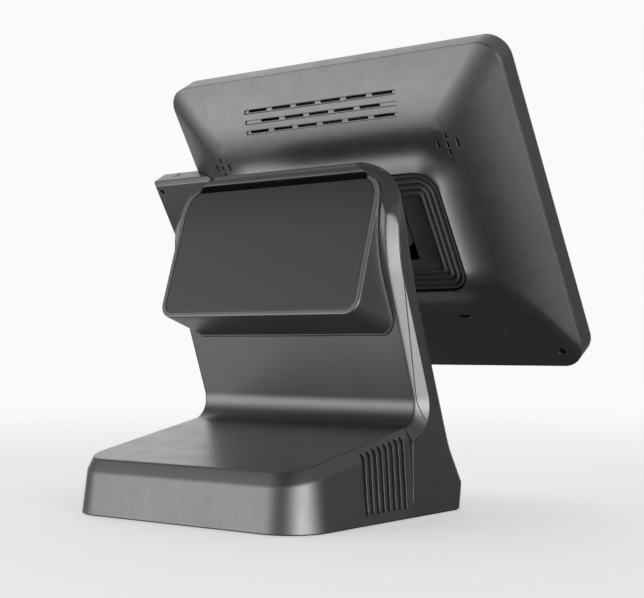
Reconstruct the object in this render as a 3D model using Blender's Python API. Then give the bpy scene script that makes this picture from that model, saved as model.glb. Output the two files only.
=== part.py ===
"""A countertop sales terminal: base, curved column, tilting touchscreen, customer display and card reader.

Run with: blender --background --python part.py

World frame: +Z up, the counter is z = 0, +X is the operator's right, the operator sits on -Y and the
customer on +Y. The origin is on the counter, in the middle of the base's width, 107.6 mm in from the
customer edge. The main display is drawn upright in its own frame: x across, y out of its back, z up its
screen, with y = 0 on the parting plane of bezel and back cover. An empty on the tilt axis leans it back.
"""
import math

import bmesh
import bpy
from mathutils import Matrix, Vector

GAP = 0.0003                      # running gap between neighbouring pieces
WALL = 0.0026                     # moulded shell thickness
HALF_TURN = math.pi

# Base
BASE_HALF_WIDTH = 0.1230
BASE_CUSTOMER_Y = 0.1076
BASE_SLOPE = 0.1925               # rise of the top face per metre towards the column
BASE_EDGE_Z = 0.0344              # lower edge of the chamfer at the customer wall
BASE_TOP_Z = 0.0453               # upper edge of the chamfer at the customer wall
BASE_DRAFT = 0.0041               # how far the walls lean in below the chamfer
BASE_CHAMFER_INSET = 0.0091       # from the foot of the wall to the top face
BASE_CORNER_RADIUS = 0.035
SEAM_Y = -0.0385                  # the base box meets the column here
SHELL_FOOT_Z = 0.0012             # the mouldings hang this far above the counter

# Column
COLUMN_HALF_WIDTH = 0.1220
COLUMN_FACE_HALF_WIDTH = 0.1139   # customer face, between the two chamfer strips
COLUMN_TOP_Z = 0.2868
COLUMN_TOP_CORNER = (0.052, 0.056)   # width and height of the rear outline's top corners
COLUMN_FACE_CORNER = (0.058, 0.060)  # the same for the customer face, which tapers in more
CHAMFER_AT_BASE = 0.0105          # chamfer depth where the strip leaves the base
CHAMFER_ON_COLUMN = 0.0080

# Main display
DISPLAY_TILT = math.radians(31.23)
PARTING_CENTRE = Vector((0.0, -0.1493, 0.2499))
DISPLAY_HALF_WIDTH = 0.1800
DISPLAY_HALF_HEIGHT = 0.1528
BEZEL_DEPTH = 0.0223
DISPLAY_CORNER = 0.0215
CROWN_HEIGHT = 0.0244             # how far the back cover domes beyond its edge step
CROWN_STEP = 0.0010
CROWN_RUN = 0.0670                # width of the domed slope on the sides and the top
LOWER_RUN = 0.0990                # width of the straight slope along the bottom
BOSS_TOP_Y = 0.0350
BOOT_HALF_WIDTH = 0.1090
BOOT_LOW_Z = -0.0550
BOOT_HIGH_Z = 0.0592
BOOT_RIBS = 4
BOOT_RIB_PITCH = 0.0055
TILT_AXIS_Y = 0.0140              # tilt axis in the display frame
TILT_AXIS_Z = 0.0020
DOOR_AXIS_Y = 0.0016              # hinge line of the connector door along its lower edge
DOOR_AXIS_Z = -0.1462

# Customer display
CUSTOMER_TILT = 0.3035
CUSTOMER_CENTRE = Vector((0.0, -0.0023, 0.2190))
CUSTOMER_HALF_WIDTH = 0.1062
CUSTOMER_HALF_HEIGHT = 0.0604
SEAT_DEPTH = 0.0042               # the housing's rim sits this deep where the column's face meets it

# Card reader, in the display frame
READER_INNER_X = 0.1500
READER_OUTER_X = 0.2295
READER_LOW_Z = -0.0450
READER_TOP_Z = 0.0680
READER_FRONT_Y = -0.0030
READER_BACK_Y = 0.0184
READER_CHAMFER = 0.0040

PLASTIC_DARK = (0.055, 0.055, 0.058)


# ---------------------------------------------------------------- materials and objects
def clear_scene():
    for old in list(bpy.data.objects):
        bpy.data.objects.remove(old, do_unlink=True)


def make_material(name, colour, roughness, metallic):
    material = bpy.data.materials.new(name)
    material.use_nodes = True
    shader = material.node_tree.nodes["Principled BSDF"]
    shader.inputs["Base Color"].default_value = (*colour, 1.0)
    shader.inputs["Roughness"].default_value = roughness
    shader.inputs["Metallic"].default_value = metallic
    material.diffuse_color = (*colour, 1.0)
    return material


def temporary(mesh):
    shape = bpy.data.objects.new("work", mesh)
    bpy.context.scene.collection.objects.link(shape)
    return shape


def discard(shape):
    bpy.data.objects.remove(shape, do_unlink=True)


def boolean(shape, tool, operation, solver="EXACT"):
    """Combine two working shapes; the tool is used up."""
    modifier = shape.modifiers.new("combine", "BOOLEAN")
    modifier.operation = operation
    modifier.solver = solver
    modifier.object = tool
    graph = bpy.context.evaluated_depsgraph_get()
    graph.update()
    mesh = bpy.data.meshes.new_from_object(shape.evaluated_get(graph))
    shape.modifiers.clear()
    shape.data = mesh
    discard(tool)
    return shape


def cut(shape, *tools):
    for tool in tools:
        boolean(shape, tool, "DIFFERENCE")
    return shape


def join(shape, *tools, solver="EXACT"):
    for tool in tools:
        boolean(shape, tool, "UNION", solver)
    return shape


def keep(shape, tool):
    return boolean(shape, tool, "INTERSECT")


def finish(name, shape, look, parent=None, smooth_angle=30.0):
    """Turn a working shape into a named part with its own material."""
    shape.name = name
    shape.data.name = name
    shape.data.materials.clear()
    shape.data.materials.append(make_material(name, *look))
    for polygon in shape.data.polygons:
        polygon.material_index = 0
    shape.data.shade_smooth()
    shape.data.set_sharp_from_angle(angle=math.radians(smooth_angle))
    shape.parent = parent
    return shape


# ---------------------------------------------------------------- shapes
def mesh_of(bm):
    bmesh.ops.recalc_face_normals(bm, faces=bm.faces)
    mesh = bpy.data.meshes.new("work")
    bm.to_mesh(mesh)
    bm.free()
    return mesh


def loft(rings, closed_path=False):
    """Skin a list of equal rings; the ends are capped unless the path closes on itself."""
    bm = bmesh.new()
    verts = [[bm.verts.new(point) for point in ring] for ring in rings]
    spans = list(zip(verts, verts[1:]))
    if closed_path:
        spans.append((verts[-1], verts[0]))
    for low, high in spans:
        count = len(low)
        for i in range(count):
            j = (i + 1) % count
            bm.faces.new((low[i], low[j], high[j], high[i]))
    if not closed_path:
        bm.faces.new(verts[0][::-1])
        bm.faces.new(verts[-1])
    return temporary(mesh_of(bm))


def box(low, high):
    x0, y0, z0 = low
    x1, y1, z1 = high
    plan = ((x0, y0), (x1, y0), (x1, y1), (x0, y1))
    return loft([[Vector((x, y, z)) for x, y in plan] for z in (z0, z1)])


def boxes(corners):
    """Several boxes that don't touch, as one cutting tool."""
    bm = bmesh.new()
    for (x0, y0, z0), (x1, y1, z1) in corners:
        size = Matrix.Diagonal((x1 - x0, y1 - y0, z1 - z0, 1.0))
        middle = Matrix.Translation(((x0 + x1) / 2, (y0 + y1) / 2, (z0 + z1) / 2))
        bmesh.ops.create_cube(bm, size=1.0, matrix=middle @ size)
    return temporary(mesh_of(bm))


def rod(start, end, radius, segments=32):
    """A round bar between two points."""
    start, end = Vector(start), Vector(end)
    turn = (end - start).to_track_quat("Z", "Y").to_matrix()
    ring = []
    for i in range(segments):
        angle = 2 * HALF_TURN * i / segments
        ring.append(turn @ Vector((radius * math.cos(angle), radius * math.sin(angle), 0.0)))
    return loft([[start + point for point in ring], [end + point for point in ring]])


def arc(centre, radius, start, end, steps):
    points = []
    for i in range(steps + 1):
        angle = math.radians(start + (end - start) * i / steps)
        points.append((centre[0] + radius * math.cos(angle), centre[1] + radius * math.sin(angle)))
    return points


def rounded_rectangle(left, right, low, high, low_radius, high_radius, steps=5):
    """Outline in two coordinates, anticlockwise from the lower right corner."""
    points = []
    points += arc((right - low_radius, low + low_radius), low_radius, -90, 0, steps)
    points += arc((right - high_radius, high - high_radius), high_radius, 0, 90, steps)
    points += arc((left + high_radius, high - high_radius), high_radius, 90, 180, steps)
    points += arc((left + low_radius, low + low_radius), low_radius, 180, 270, steps)
    return points


def slab(outline, y0, y1):
    """An outline in x and z, made thick along y."""
    return loft([[Vector((x, y, z)) for x, z in outline] for y in (y0, y1)])


def bent_line(corners, steps=6):
    """A line through control corners (y, z, radius), each corner with a radius rounded to an arc."""
    points = []
    for index, (y, z, radius) in enumerate(corners):
        here = Vector((y, z))
        if radius == 0:
            points.append(here)
            continue
        before = (Vector(corners[index - 1][:2]) - here).normalized()
        after = (Vector(corners[index + 1][:2]) - here).normalized()
        half = before.angle(after) / 2
        middle = here + (before + after).normalized() * (radius / math.sin(half))
        start = here + before * (radius / math.tan(half)) - middle
        sweep = start.angle_signed(here + after * (radius / math.tan(half)) - middle)
        for i in range(steps + 1):
            angle = -sweep * i / steps
            turned = Vector((start.x * math.cos(angle) - start.y * math.sin(angle),
                             start.x * math.sin(angle) + start.y * math.cos(angle)))
            points.append(middle + turned)
    return points


def offset_line(points, depth):
    """The line moved to its left-hand side by a depth, or by a list of depths."""
    moved = []
    for i, point in enumerate(points):
        before = points[max(i - 1, 0)]
        after = points[min(i + 1, len(points) - 1)]
        along = (after - before).normalized()
        normal = Vector((-along.y, along.x))
        amount = depth[i] if isinstance(depth, list) else depth
        moved.append(point + normal * amount)
    return moved


def y_on(points, z):
    """Where a line that runs steadily in z crosses a height."""
    for low, high in zip(points, points[1:]):
        bottom, top = sorted((low, high), key=lambda p: p.y)
        if bottom.y <= z <= top.y and top.y > bottom.y:
            share = (z - bottom.y) / (top.y - bottom.y)
            return bottom.x + (top.x - bottom.x) * share
    return points[0].x if abs(z - points[0].y) < abs(z - points[-1].y) else points[-1].x


# ---------------------------------------------------------------- stand outlines
def customer_profile():
    """Side view of the customer-facing surface: base top, fillet, leaning face, bend, rounded crest."""
    seam_z = BASE_TOP_Z + BASE_SLOPE * (BASE_CUSTOMER_Y - BASE_CHAMFER_INSET - SEAM_Y)
    start_y = 0.010
    return bent_line([
        (start_y, seam_z - BASE_SLOPE * (start_y - SEAM_Y), 0),
        (-0.0590, seam_z - BASE_SLOPE * (-0.0590 - SEAM_Y), 0.0178),
        (-0.0071, 0.2182, 0.120),
        (-0.0228, COLUMN_TOP_Z, 0.0125),
        (-0.0600, COLUMN_TOP_Z, 0),
    ], steps=8)


def operator_profile():
    """Side view of the operator-facing surface, from the counter up: toe, cove, lean, upright top."""
    lean_foot = Vector((-0.1065, 0.0370))
    bend_z = 0.2140
    bend_y = lean_foot.x + 0.379 * (bend_z - lean_foot.y)
    return bent_line([
        (-0.1165, SHELL_FOOT_Z, 0),
        (-0.1198, 0.0225, 0.002),
        (lean_foot.x + 0.0060, lean_foot.y + 0.0158, 0.075),
        (bend_y, bend_z, 0.240),
        (bend_y, COLUMN_TOP_Z + 0.0004, 0.010),
        (bend_y + 0.030, COLUMN_TOP_Z + 0.0006, 0),
    ], steps=6)


def chamfer_depths(profile):
    depths = []
    for point in profile:
        share = min(max((point.y - 0.072) / 0.040, 0.0), 1.0)
        depths.append(CHAMFER_AT_BASE + (CHAMFER_ON_COLUMN - CHAMFER_AT_BASE) * share)
    return depths


def corner_inset(depth, size):
    """How far an elliptical corner has pulled in at this depth below its top."""
    width, height = size
    climb = min(max((height - depth) / height, 0.0), 1.0)
    return width * (1 - math.sqrt(1 - climb * climb))


def column_block(inset):
    """The column as a solid, all its faces moved in by an inset."""
    profile = offset_line(customer_profile(), inset) if inset else customer_profile()
    depths = chamfer_depths(profile)
    run = COLUMN_HALF_WIDTH - COLUMN_FACE_HALF_WIDTH
    past = 1.19                   # the chamfer is carried on past the side faces and cut off by them
    chamfered = offset_line(profile, [depth * past for depth in depths])
    face = COLUMN_FACE_HALF_WIDTH - inset * 0.6
    edge = face + run * past
    low_z = -0.02

    def side_ring(x, line):
        front = [Vector((x, point.x, point.y)) for point in line]
        back = [Vector((x, -0.160, line[-1].y)), Vector((x, -0.160, low_z)),
                Vector((x, line[0].x, low_z))]
        return front + back

    block = loft([side_ring(-edge, chamfered), side_ring(-face, profile),
                  side_ring(face, profile), side_ring(edge, chamfered)])

    back_line = operator_profile()
    profile_above = [point for point in profile if point.y > 0.10]
    top = COLUMN_TOP_Z + 0.0006 - inset
    half = COLUMN_HALF_WIDTH - inset
    face_height = COLUMN_FACE_CORNER[1]
    levels = [p.y for p in back_line if p.y < top - face_height]
    corner_angles = (0, 12, 24, 36, 46, 56, 66, 76, 90)
    levels += [top - face_height * (1 - math.sin(math.radians(a))) for a in corner_angles]
    kept = []
    for level in sorted(levels):
        if not kept or level - kept[-1] > 0.0012:
            kept.append(level)
    if inset:
        kept[0] = -0.010
    rings = []
    for z in kept:
        taper = min(max((z - 0.2150) / 0.030, 0.0), 1.0)
        width = half - corner_inset(top - z, COLUMN_TOP_CORNER)
        front_width = half - corner_inset(top - z, COLUMN_FACE_CORNER) - run * taper
        back = y_on(back_line, z + (inset if z > 0.24 else 0.0)) + inset
        softness = min(max((z - 0.200) / 0.050, 0.0), 1.0)
        tight = min(max((z - 0.250) / 0.025, 0.0), 1.0)
        across = (0.012 + 0.016 * softness) * (1 - tight) + 0.006 * tight
        deep = (0.012 + 0.002 * softness) * (1 - tight) + 0.003 * tight
        deep = max(deep - 2 * inset, 0.0008)
        shoulder = back + deep
        front = max(y_on(profile_above, z) + 0.0006, shoulder + 0.004) if z > 0.12 else 0.0
        straight = min(max((z - top + 0.055) / 0.020, 0.0), 1.0)
        ring = [(front_width, 0.060)]
        for step in range(6):
            turn = math.radians(90 - 90 * step / 5)
            share = 1 - step / 5
            u = (1 - math.cos(turn)) * (1 - straight) + share * straight
            v = math.sin(turn) * (1 - straight) + share * straight
            ring.append((width - (width - front_width) * u, shoulder + (front - shoulder) * v))
        ring += [(width - across + across * math.cos(a), back + deep - deep * math.sin(a))
                 for a in (math.radians(d) for d in (22.5, 45, 67.5, 90))]
        ring += [(-x, y) for x, y in reversed(ring)]
        rings.append([Vector((x, y, z)) for x, y in ring])
    return keep(block, loft(rings))


def base_block(inset):
    """The base box as a solid, longer than it needs to be towards the column."""
    levels = (
        (0.0, SHELL_FOOT_Z if not inset else -0.010, 0.0),
        (BASE_DRAFT, BASE_EDGE_Z, BASE_SLOPE),
        (BASE_CHAMFER_INSET, BASE_TOP_Z - inset, BASE_SLOPE),
    )
    rings = []
    for step_in, z, slope in levels:
        half = BASE_HALF_WIDTH - step_in - inset
        customer = BASE_CUSTOMER_Y - step_in - inset
        radius = BASE_CORNER_RADIUS - step_in - inset
        plan = [(half, -0.060)]
        plan += arc((half - radius, customer - radius), radius, 0, 90, 8)
        plan += arc((-half + radius, customer - radius), radius, 90, 180, 8)
        plan += [(-half, -0.060)]
        top_y = BASE_CUSTOMER_Y - step_in
        rings.append([Vector((x, y, z + slope * (top_y - y))) for x, y in plan])
    return loft(rings)


def face_block(inset):
    """Everything behind the column's customer face, as a plain prism across the width."""
    line = offset_line(customer_profile(), inset)
    outline = [(point.x, point.y) for point in line]
    outline += [(-0.160, outline[-1][1]), (-0.160, -0.020), (outline[0][0], -0.020)]
    return loft([[Vector((x, y, z)) for y, z in outline] for x in (-0.20, 0.20)])


def in_front_of_strip(extra):
    """Everything on the customer's side of the chamfer strips' outer edges."""
    profile = customer_profile()
    depths = [depth + extra for depth in chamfer_depths(profile)]
    line = offset_line(profile, depths)
    line = [point for point in line if point.x > -0.0595 or point.y > 0.2]
    outline = [(point.x, point.y) for point in line]
    outline += [(outline[-1][0], 0.32), (0.14, 0.32), (0.14, outline[0][1])]
    return loft([[Vector((x, y, z)) for y, z in outline] for x in (-0.14, 0.14)])


# ---------------------------------------------------------------- base and column
def neck_frame():
    """World matrix of the display frame at rest, which the neck is drawn in too."""
    return Matrix.Translation(PARTING_CENTRE) @ Matrix.Rotation(-DISPLAY_TILT, 4, "X")


def customer_frame():
    """World matrix of the customer display: x across, y out of its screen, z up it."""
    return Matrix.Translation(CUSTOMER_CENTRE) @ Matrix.Rotation(CUSTOMER_TILT, 4, "X")


def moved(shape, matrix):
    shape.data.transform(matrix)
    return shape


def build_base():
    cover = cut(base_block(0.0), base_block(WALL))
    cut(cover, box((-0.2, -0.2, -0.05), (0.2, SEAM_Y + GAP / 2, 0.2)))
    slots = []
    slot_pitch = 0.0074
    slot_half = 0.0016
    for side in (-1, 1):
        for i in range(8):
            y = -0.0276 + slot_pitch * i
            top = BASE_EDGE_Z + BASE_SLOPE * (BASE_CUSTOMER_Y - BASE_DRAFT - y) + 0.0052
            x0, x1 = sorted((side * 0.106, side * 0.135))
            slots.append(((x0, y - slot_half, 0.0085), (x1, y + slot_half, top)))
    cut(cover, boxes(slots))
    finish("base_cover", cover, (PLASTIC_DARK, 0.42, 0.0))

    plate_outline = [(0.1155, -0.0360)]
    plate_outline += arc((0.0855, 0.0740), 0.0280, 0, 90, 6)
    plate_outline += arc((-0.0855, 0.0740), 0.0280, 90, 180, 6)
    plate_outline += [(-0.1155, -0.0360), (-0.1155, -0.0900), (-0.1020, -0.1060),
                      (0.1020, -0.1060), (0.1155, -0.0900)]
    plate = loft([[Vector((x, y, z)) for x, y in plate_outline] for z in (0.0018, 0.0078)])
    feet = [(-0.090, -0.094), (0.090, -0.094), (-0.088, 0.076), (0.088, 0.076), (0.0, 0.0)]
    for x, y in feet:
        cut(plate, rod((x, y, 0.0), (x, y, 0.0038), 0.0103, 24))
    finish("base_plate", plate, ((0.30, 0.30, 0.31), 0.45, 0.9))
    names = ("foot_operator_left", "foot_operator_right", "foot_customer_left", "foot_customer_right",
             "foot_middle")
    for name, (x, y) in zip(names, feet):
        foot = rod((x, y, 0.0), (x, y, 0.0035), 0.0100, 24)
        finish(name, foot, ((0.02, 0.02, 0.02), 0.85, 0.0))

    supply = box((-0.075, 0.005, 0.0083), (0.045, 0.075, 0.0400))
    finish("power_supply", supply, ((0.42, 0.42, 0.43), 0.5, 0.7))


def wedge_prism(grow, depth, front=0.0):
    """The customer display's housing, running back from its screen plane by a depth."""
    rings = []
    flare_per_metre = 0.068
    for y in (front, -depth / 2, -depth):
        flare = grow + flare_per_metre * max(-y, 0.0)
        outline = rounded_rectangle(-CUSTOMER_HALF_WIDTH - flare, CUSTOMER_HALF_WIDTH + flare,
                                    -CUSTOMER_HALF_HEIGHT - grow, CUSTOMER_HALF_HEIGHT + grow,
                                    0.0130 + grow, 0.0235 + grow)
        rings.append([Vector((x, y, z)) for x, z in outline])
    return loft(rings)


def build_column():
    shell = cut(column_block(0.0), column_block(WALL))
    cut(shell, box((-0.2, SEAM_Y - GAP / 2, -0.05), (0.2, 0.2, 0.0785)))

    customer_half = temporary(shell.data.copy())
    keep(customer_half, in_front_of_strip(-GAP / 2))
    window = box((-0.0982, -0.0200, -0.0532), (0.0982, 0.0080, 0.0544))
    cut(customer_half, moved(window, customer_frame()))
    cut(customer_half, moved(wedge_prism(GAP, SEAT_DEPTH + GAP, 0.0200), customer_frame()))
    finish("column_customer_cover", customer_half, (PLASTIC_DARK, 0.42, 0.0))

    operator_half = shell
    cut(operator_half, in_front_of_strip(GAP / 2))
    slot = box((-0.0480, 0.0700, TILT_AXIS_Z - 0.0055), (0.0480, 0.1260, TILT_AXIS_Z + 0.0055))
    cut(operator_half, moved(slot, neck_frame()))
    finish("column_operator_cover", operator_half, (PLASTIC_DARK, 0.42, 0.0))

    frame_line = bent_line([(-0.0450, 0.0095, 0), (-0.0830, 0.0095, 0.006), (-0.0800, 0.0500, 0.05),
                            (-0.0370, 0.1650, 0.12), (-0.0290, 0.2350, 0)], steps=4)
    inner = offset_line(frame_line, 0.0015)
    outer = offset_line(frame_line, -0.0015)
    outline = [(p.x, p.y) for p in inner] + [(p.x, p.y) for p in reversed(outer)]
    spine = loft([[Vector((x, y, z)) for y, z in outline] for x in (-0.085, 0.085)])
    finish("column_spine", spine, ((0.32, 0.32, 0.33), 0.45, 0.9))


def build_neck():
    """Steel arm with its knuckle, shaft and washers, inside a moulded neck, all square to the display."""
    axis_y, axis_z = TILT_AXIS_Y, TILT_AXIS_Z

    def on_axis(x):
        return (x, axis_y, axis_z)

    arm = rod(on_axis(-0.0540), on_axis(0.0540), 0.0110, 32)
    join(arm, box((-0.0450, axis_y + 0.004, axis_z - 0.0030), (0.0450, 0.1230, axis_z + 0.0030)))
    join(arm, box((-0.0440, 0.1195, axis_z - 0.0025), (0.0440, 0.1235, axis_z + 0.0160)))
    cut(arm, rod(on_axis(-0.0600), on_axis(0.0600), 0.0053, 32))
    finish("hinge_arm", moved(arm, neck_frame()), ((0.35, 0.35, 0.36), 0.4, 0.9))

    outer = rounded_rectangle(-0.0640, 0.0640, axis_z - 0.0130, axis_z + 0.0130, 0.006, 0.006)
    inner = rounded_rectangle(-0.0616, 0.0616, axis_z - 0.0106, axis_z + 0.0106, 0.004, 0.004)
    neck = cut(slab(outer, axis_y + 0.0110, 0.1300), slab(inner, 0.0, 0.1400))
    moved(neck, neck_frame())
    cut(neck, column_block(-0.0004))
    finish("neck_cover", neck, (PLASTIC_DARK, 0.42, 0.0))


def build_customer_display():
    frame = customer_frame()
    wedge = moved(wedge_prism(0.0, 0.0620), frame)
    cut(wedge, cut(face_block(-0.0004), moved(wedge_prism(0.0012, SEAT_DEPTH, 0.0200), frame)))
    lip = moved(slab(rounded_rectangle(-0.1112, 0.1112, -0.0606, 0.0600, 0.0150, 0.0235),
                     -0.0620, -0.0060), frame)
    keep(lip, face_block(-0.0020))
    cut(lip, face_block(-0.0004))
    join(wedge, lip, solver="MANIFOLD")
    cut(wedge, box((-0.2, -0.2, 0.0), (0.2, -0.0350, 0.4)))

    tray = box((-0.0975, -0.0105, -0.0525), (0.0975, -0.0010, 0.0537))
    join(wedge, moved(tray, frame))
    recess = slab(rounded_rectangle(-0.1020, 0.1020, -0.0561, 0.0577, 0.0095, 0.0200), -0.0024, 0.0100)
    pocket = box((-0.0940, -0.0085, -0.0500), (0.0940, 0.0, 0.0490))
    cut(wedge, moved(recess, frame), moved(pocket, frame))
    cavity = moved(box((-0.0925, -0.0620, -0.0485), (0.0925, -0.0070, 0.0400)), frame)
    cut(wedge, cut(cavity, face_block(-0.0030)))
    finish("customer_housing", wedge, (PLASTIC_DARK, 0.40, 0.0))

    glass = slab(rounded_rectangle(-0.1017, 0.1017, -0.0558, 0.0574, 0.0092, 0.0197), -0.0021, -0.0005)
    cut(glass, box((-0.2, -0.01, 0.0547), (0.2, 0.01, 0.1)))
    finish("customer_glass", moved(glass, frame), ((0.012, 0.012, 0.013), 0.12, 0.0))
    panel = box((-0.0920, -0.0080, -0.0480), (0.0920, -0.0024, 0.0470))
    finish("customer_lcd", moved(panel, frame), ((0.25, 0.26, 0.27), 0.4, 0.5))
    board = box((-0.0400, -0.0125, -0.0460), (0.0400, -0.0109, -0.0240))
    finish("customer_driver_board", moved(board, frame), ((0.03, 0.16, 0.07), 0.55, 0.0))


# ---------------------------------------------------------------- main display
def crown_outline(rise, inset, steps=6):
    """Outline of the domed back at a height above the parting plane, moved in by an inset."""
    share = min(max((rise - CROWN_STEP) / CROWN_HEIGHT, 0.0), 1.0)
    side = CROWN_RUN * math.asin(share) / (HALF_TURN / 2)
    lower = LOWER_RUN * share
    radius = DISPLAY_CORNER - 0.008 * share
    half = DISPLAY_HALF_WIDTH - side - inset
    return rounded_rectangle(-half, half, -DISPLAY_HALF_HEIGHT + lower + inset,
                             DISPLAY_HALF_HEIGHT - side - inset, radius - inset, radius - inset, steps)


def crown_block(inset):
    rings = []
    start = 0.0 if not inset else -0.0100
    rises = [0.0] + [CROWN_STEP + CROWN_HEIGHT * share
                     for share in (0.0, 0.16, 0.32, 0.48, 0.63, 0.77, 0.89, 0.97, 1.0)]
    for i, rise in enumerate(rises):
        y = start if i == 0 else rise - inset
        rings.append([Vector((x, y, z)) for x, z in crown_outline(rise, inset)])
    return loft(rings)


def boss_block(inset):
    """The raised boss that carries the ribbed boot."""
    levels = ((0.0100, 0.0155), (0.0250, 0.0065), (0.0325, 0.0024), (0.0345, 0.0012), (BOSS_TOP_Y, 0.0003))
    rings = []
    for level, spread in levels:
        grow = spread + 0.0015 - inset
        outline = rounded_rectangle(-BOOT_HALF_WIDTH - grow, BOOT_HALF_WIDTH + grow, BOOT_LOW_Z - grow,
                                    BOOT_HIGH_Z + grow, 0.0170 + grow, 0.0220 + grow)
        rings.append([Vector((x, level - inset, z)) for x, z in outline])
    return loft(rings)


def display_solid(inset):
    return join(crown_block(inset), boss_block(inset))


def boot_outline(step_in):
    low_radius = max(0.0170 - step_in, 0.0030)
    high_radius = max(0.0220 - step_in, 0.0040)
    return rounded_rectangle(-BOOT_HALF_WIDTH + step_in, BOOT_HALF_WIDTH - step_in,
                             BOOT_LOW_Z + step_in, BOOT_HIGH_Z - step_in, low_radius, high_radius)


def build_boot(pivot):
    """Concentric ribs that step in to the neck opening, like a bellows."""
    section = []
    half_pitch = BOOT_RIB_PITCH / 2
    thickness = 0.0014
    crest = BOSS_TOP_Y - 0.0006
    valley = crest - 0.0036
    inward = [(GAP, valley)]
    for rib in range(BOOT_RIBS):
        inward.append((BOOT_RIB_PITCH * rib + half_pitch, crest))
        inward.append((BOOT_RIB_PITCH * (rib + 1), valley))
    reach = BOOT_RIB_PITCH * BOOT_RIBS
    section += inward
    section += [(reach + 0.0002, valley - 0.0060), (reach - thickness, valley - 0.0060)]
    section += [(step_in, y - thickness * 1.3) for step_in, y in reversed(inward[:-1])]
    rings = [[Vector((x, y, z)) for x, z in boot_outline(step_in)] for step_in, y in section]
    finish("hinge_boot", placed(loft(rings, closed_path=True)), ((0.02, 0.02, 0.02), 0.6, 0.0), pivot)


def placed(shape):
    """Move a display piece so that its origin is the tilt axis, where its parent empty stands."""
    return moved(shape, Matrix.Translation((0.0, -TILT_AXIS_Y, -TILT_AXIS_Z)))


def door_cutter(grow):
    return box((-0.1150 - grow, -0.0050, -0.1480 - grow), (0.1150 + grow, 0.0400, -0.0900 + grow))


def build_back_cover(pivot, door_pivot):
    shell = cut(display_solid(0.0), display_solid(WALL))
    cut(shell, slab(boot_outline(0.0), 0.0, 0.0600))

    openings = []
    slot_pitch = 0.0276
    slot_half = 0.0107
    for z, count in ((0.1260, 6), (0.1172, 5), (0.1084, 6)):
        for i in range(count):
            x = (i - (count - 1) / 2) * slot_pitch
            openings.append(((x - slot_half, 0.0, z - 0.0010), (x + slot_half, 0.0400, z + 0.0010)))
    for side in (-1, 1):
        for x, z, half in ((0.1157, 0.0782, 0.0036), (0.1244, 0.0853, 0.0026), (0.1244, 0.0774, 0.0026),
                           (0.1244, 0.0703, 0.0026), (0.1330, 0.0777, 0.0041)):
            x0, x1 = sorted((side * (x - 0.0008), side * (x + 0.0008)))
            openings.append(((x0, 0.0, z - half), (x1, 0.0400, z + half)))
    cut(shell, boxes(openings))
    for side in (-1, 1):
        cut(shell, rod((side * 0.162, -0.001, -0.135), (side * 0.162, 0.030, -0.135), 0.0033, 16))

    door = temporary(shell.data.copy())
    keep(door, door_cutter(0.0))
    notch_x = 0.0810
    for side in (-1, 1):
        cut(door, rod((side * notch_x, -0.01, -0.0810), (side * notch_x, 0.04, -0.0810), 0.0125, 24))
    cut(shell, door_cutter(GAP))
    moved(door, Matrix.Translation((0.0, -DOOR_AXIS_Y, -DOOR_AXIS_Z)))
    finish("io_door", door, (PLASTIC_DARK, 0.42, 0.0), door_pivot)
    finish("back_cover", placed(shell), (PLASTIC_DARK, 0.42, 0.0), pivot)
    for side, name in ((-1, "cover_screw_left"), (1, "cover_screw_right")):
        screw = rod((side * 0.162, -0.0060, -0.135), (side * 0.162, 0.0010, -0.135), 0.0028, 16)
        finish(name, placed(screw), ((0.25, 0.25, 0.26), 0.35, 0.9), pivot)


def build_bezel(pivot, button_pivot):
    front = -BEZEL_DEPTH
    half, high, radius = DISPLAY_HALF_WIDTH, DISPLAY_HALF_HEIGHT, DISPLAY_CORNER
    rings = []
    for y, inset in ((front, 0.0030), (front + 0.0006, 0.0012), (front + 0.0030, 0.0), (-GAP, 0.0)):
        outline = rounded_rectangle(-half + inset, half - inset, -high + inset, high - inset,
                                    radius - inset, radius - inset, 6)
        rings.append([Vector((x, y, z)) for x, z in outline])
    bezel = loft(rings)
    hollow = slab(rounded_rectangle(-half + WALL, half - WALL, -high + WALL, high - WALL,
                                    radius - WALL, radius - WALL, 6), front + 0.0040, 0.0100)
    window = slab(rounded_rectangle(-0.1700, 0.1700, -0.1428, 0.1428, 0.0120, 0.0120, 4), -0.05, 0.0)
    cut(bezel, hollow, window)
    cut(bezel, slab(rounded_rectangle(0.1330, 0.1470, -0.1600, -0.1400, 0.001, 0.001, 2), -0.0125, -0.0055))
    finish("front_bezel", placed(bezel), (PLASTIC_DARK, 0.42, 0.0), pivot)

    glass = slab(rounded_rectangle(-0.1697, 0.1697, -0.1425, 0.1425, 0.0117, 0.0117, 4),
                 front + 0.0003, front + 0.0033)
    finish("touch_glass", placed(glass), ((0.010, 0.010, 0.011), 0.08, 0.0), pivot)
    panel = box((-0.1630, front + 0.0040, -0.1268), (0.1630, -0.0082, 0.1268))
    finish("lcd_panel", placed(panel), ((0.35, 0.36, 0.37), 0.35, 0.6), pivot)

    button = slab(rounded_rectangle(0.1333, 0.1467, -0.1538, -0.1445, 0.0008, 0.0008, 2), -0.0122, -0.0058)
    moved(button, Matrix.Translation((-0.1400, 0.0090, 0.1500)))
    finish("power_button", button, ((0.03, 0.03, 0.03), 0.35, 0.0), button_pivot)


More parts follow.
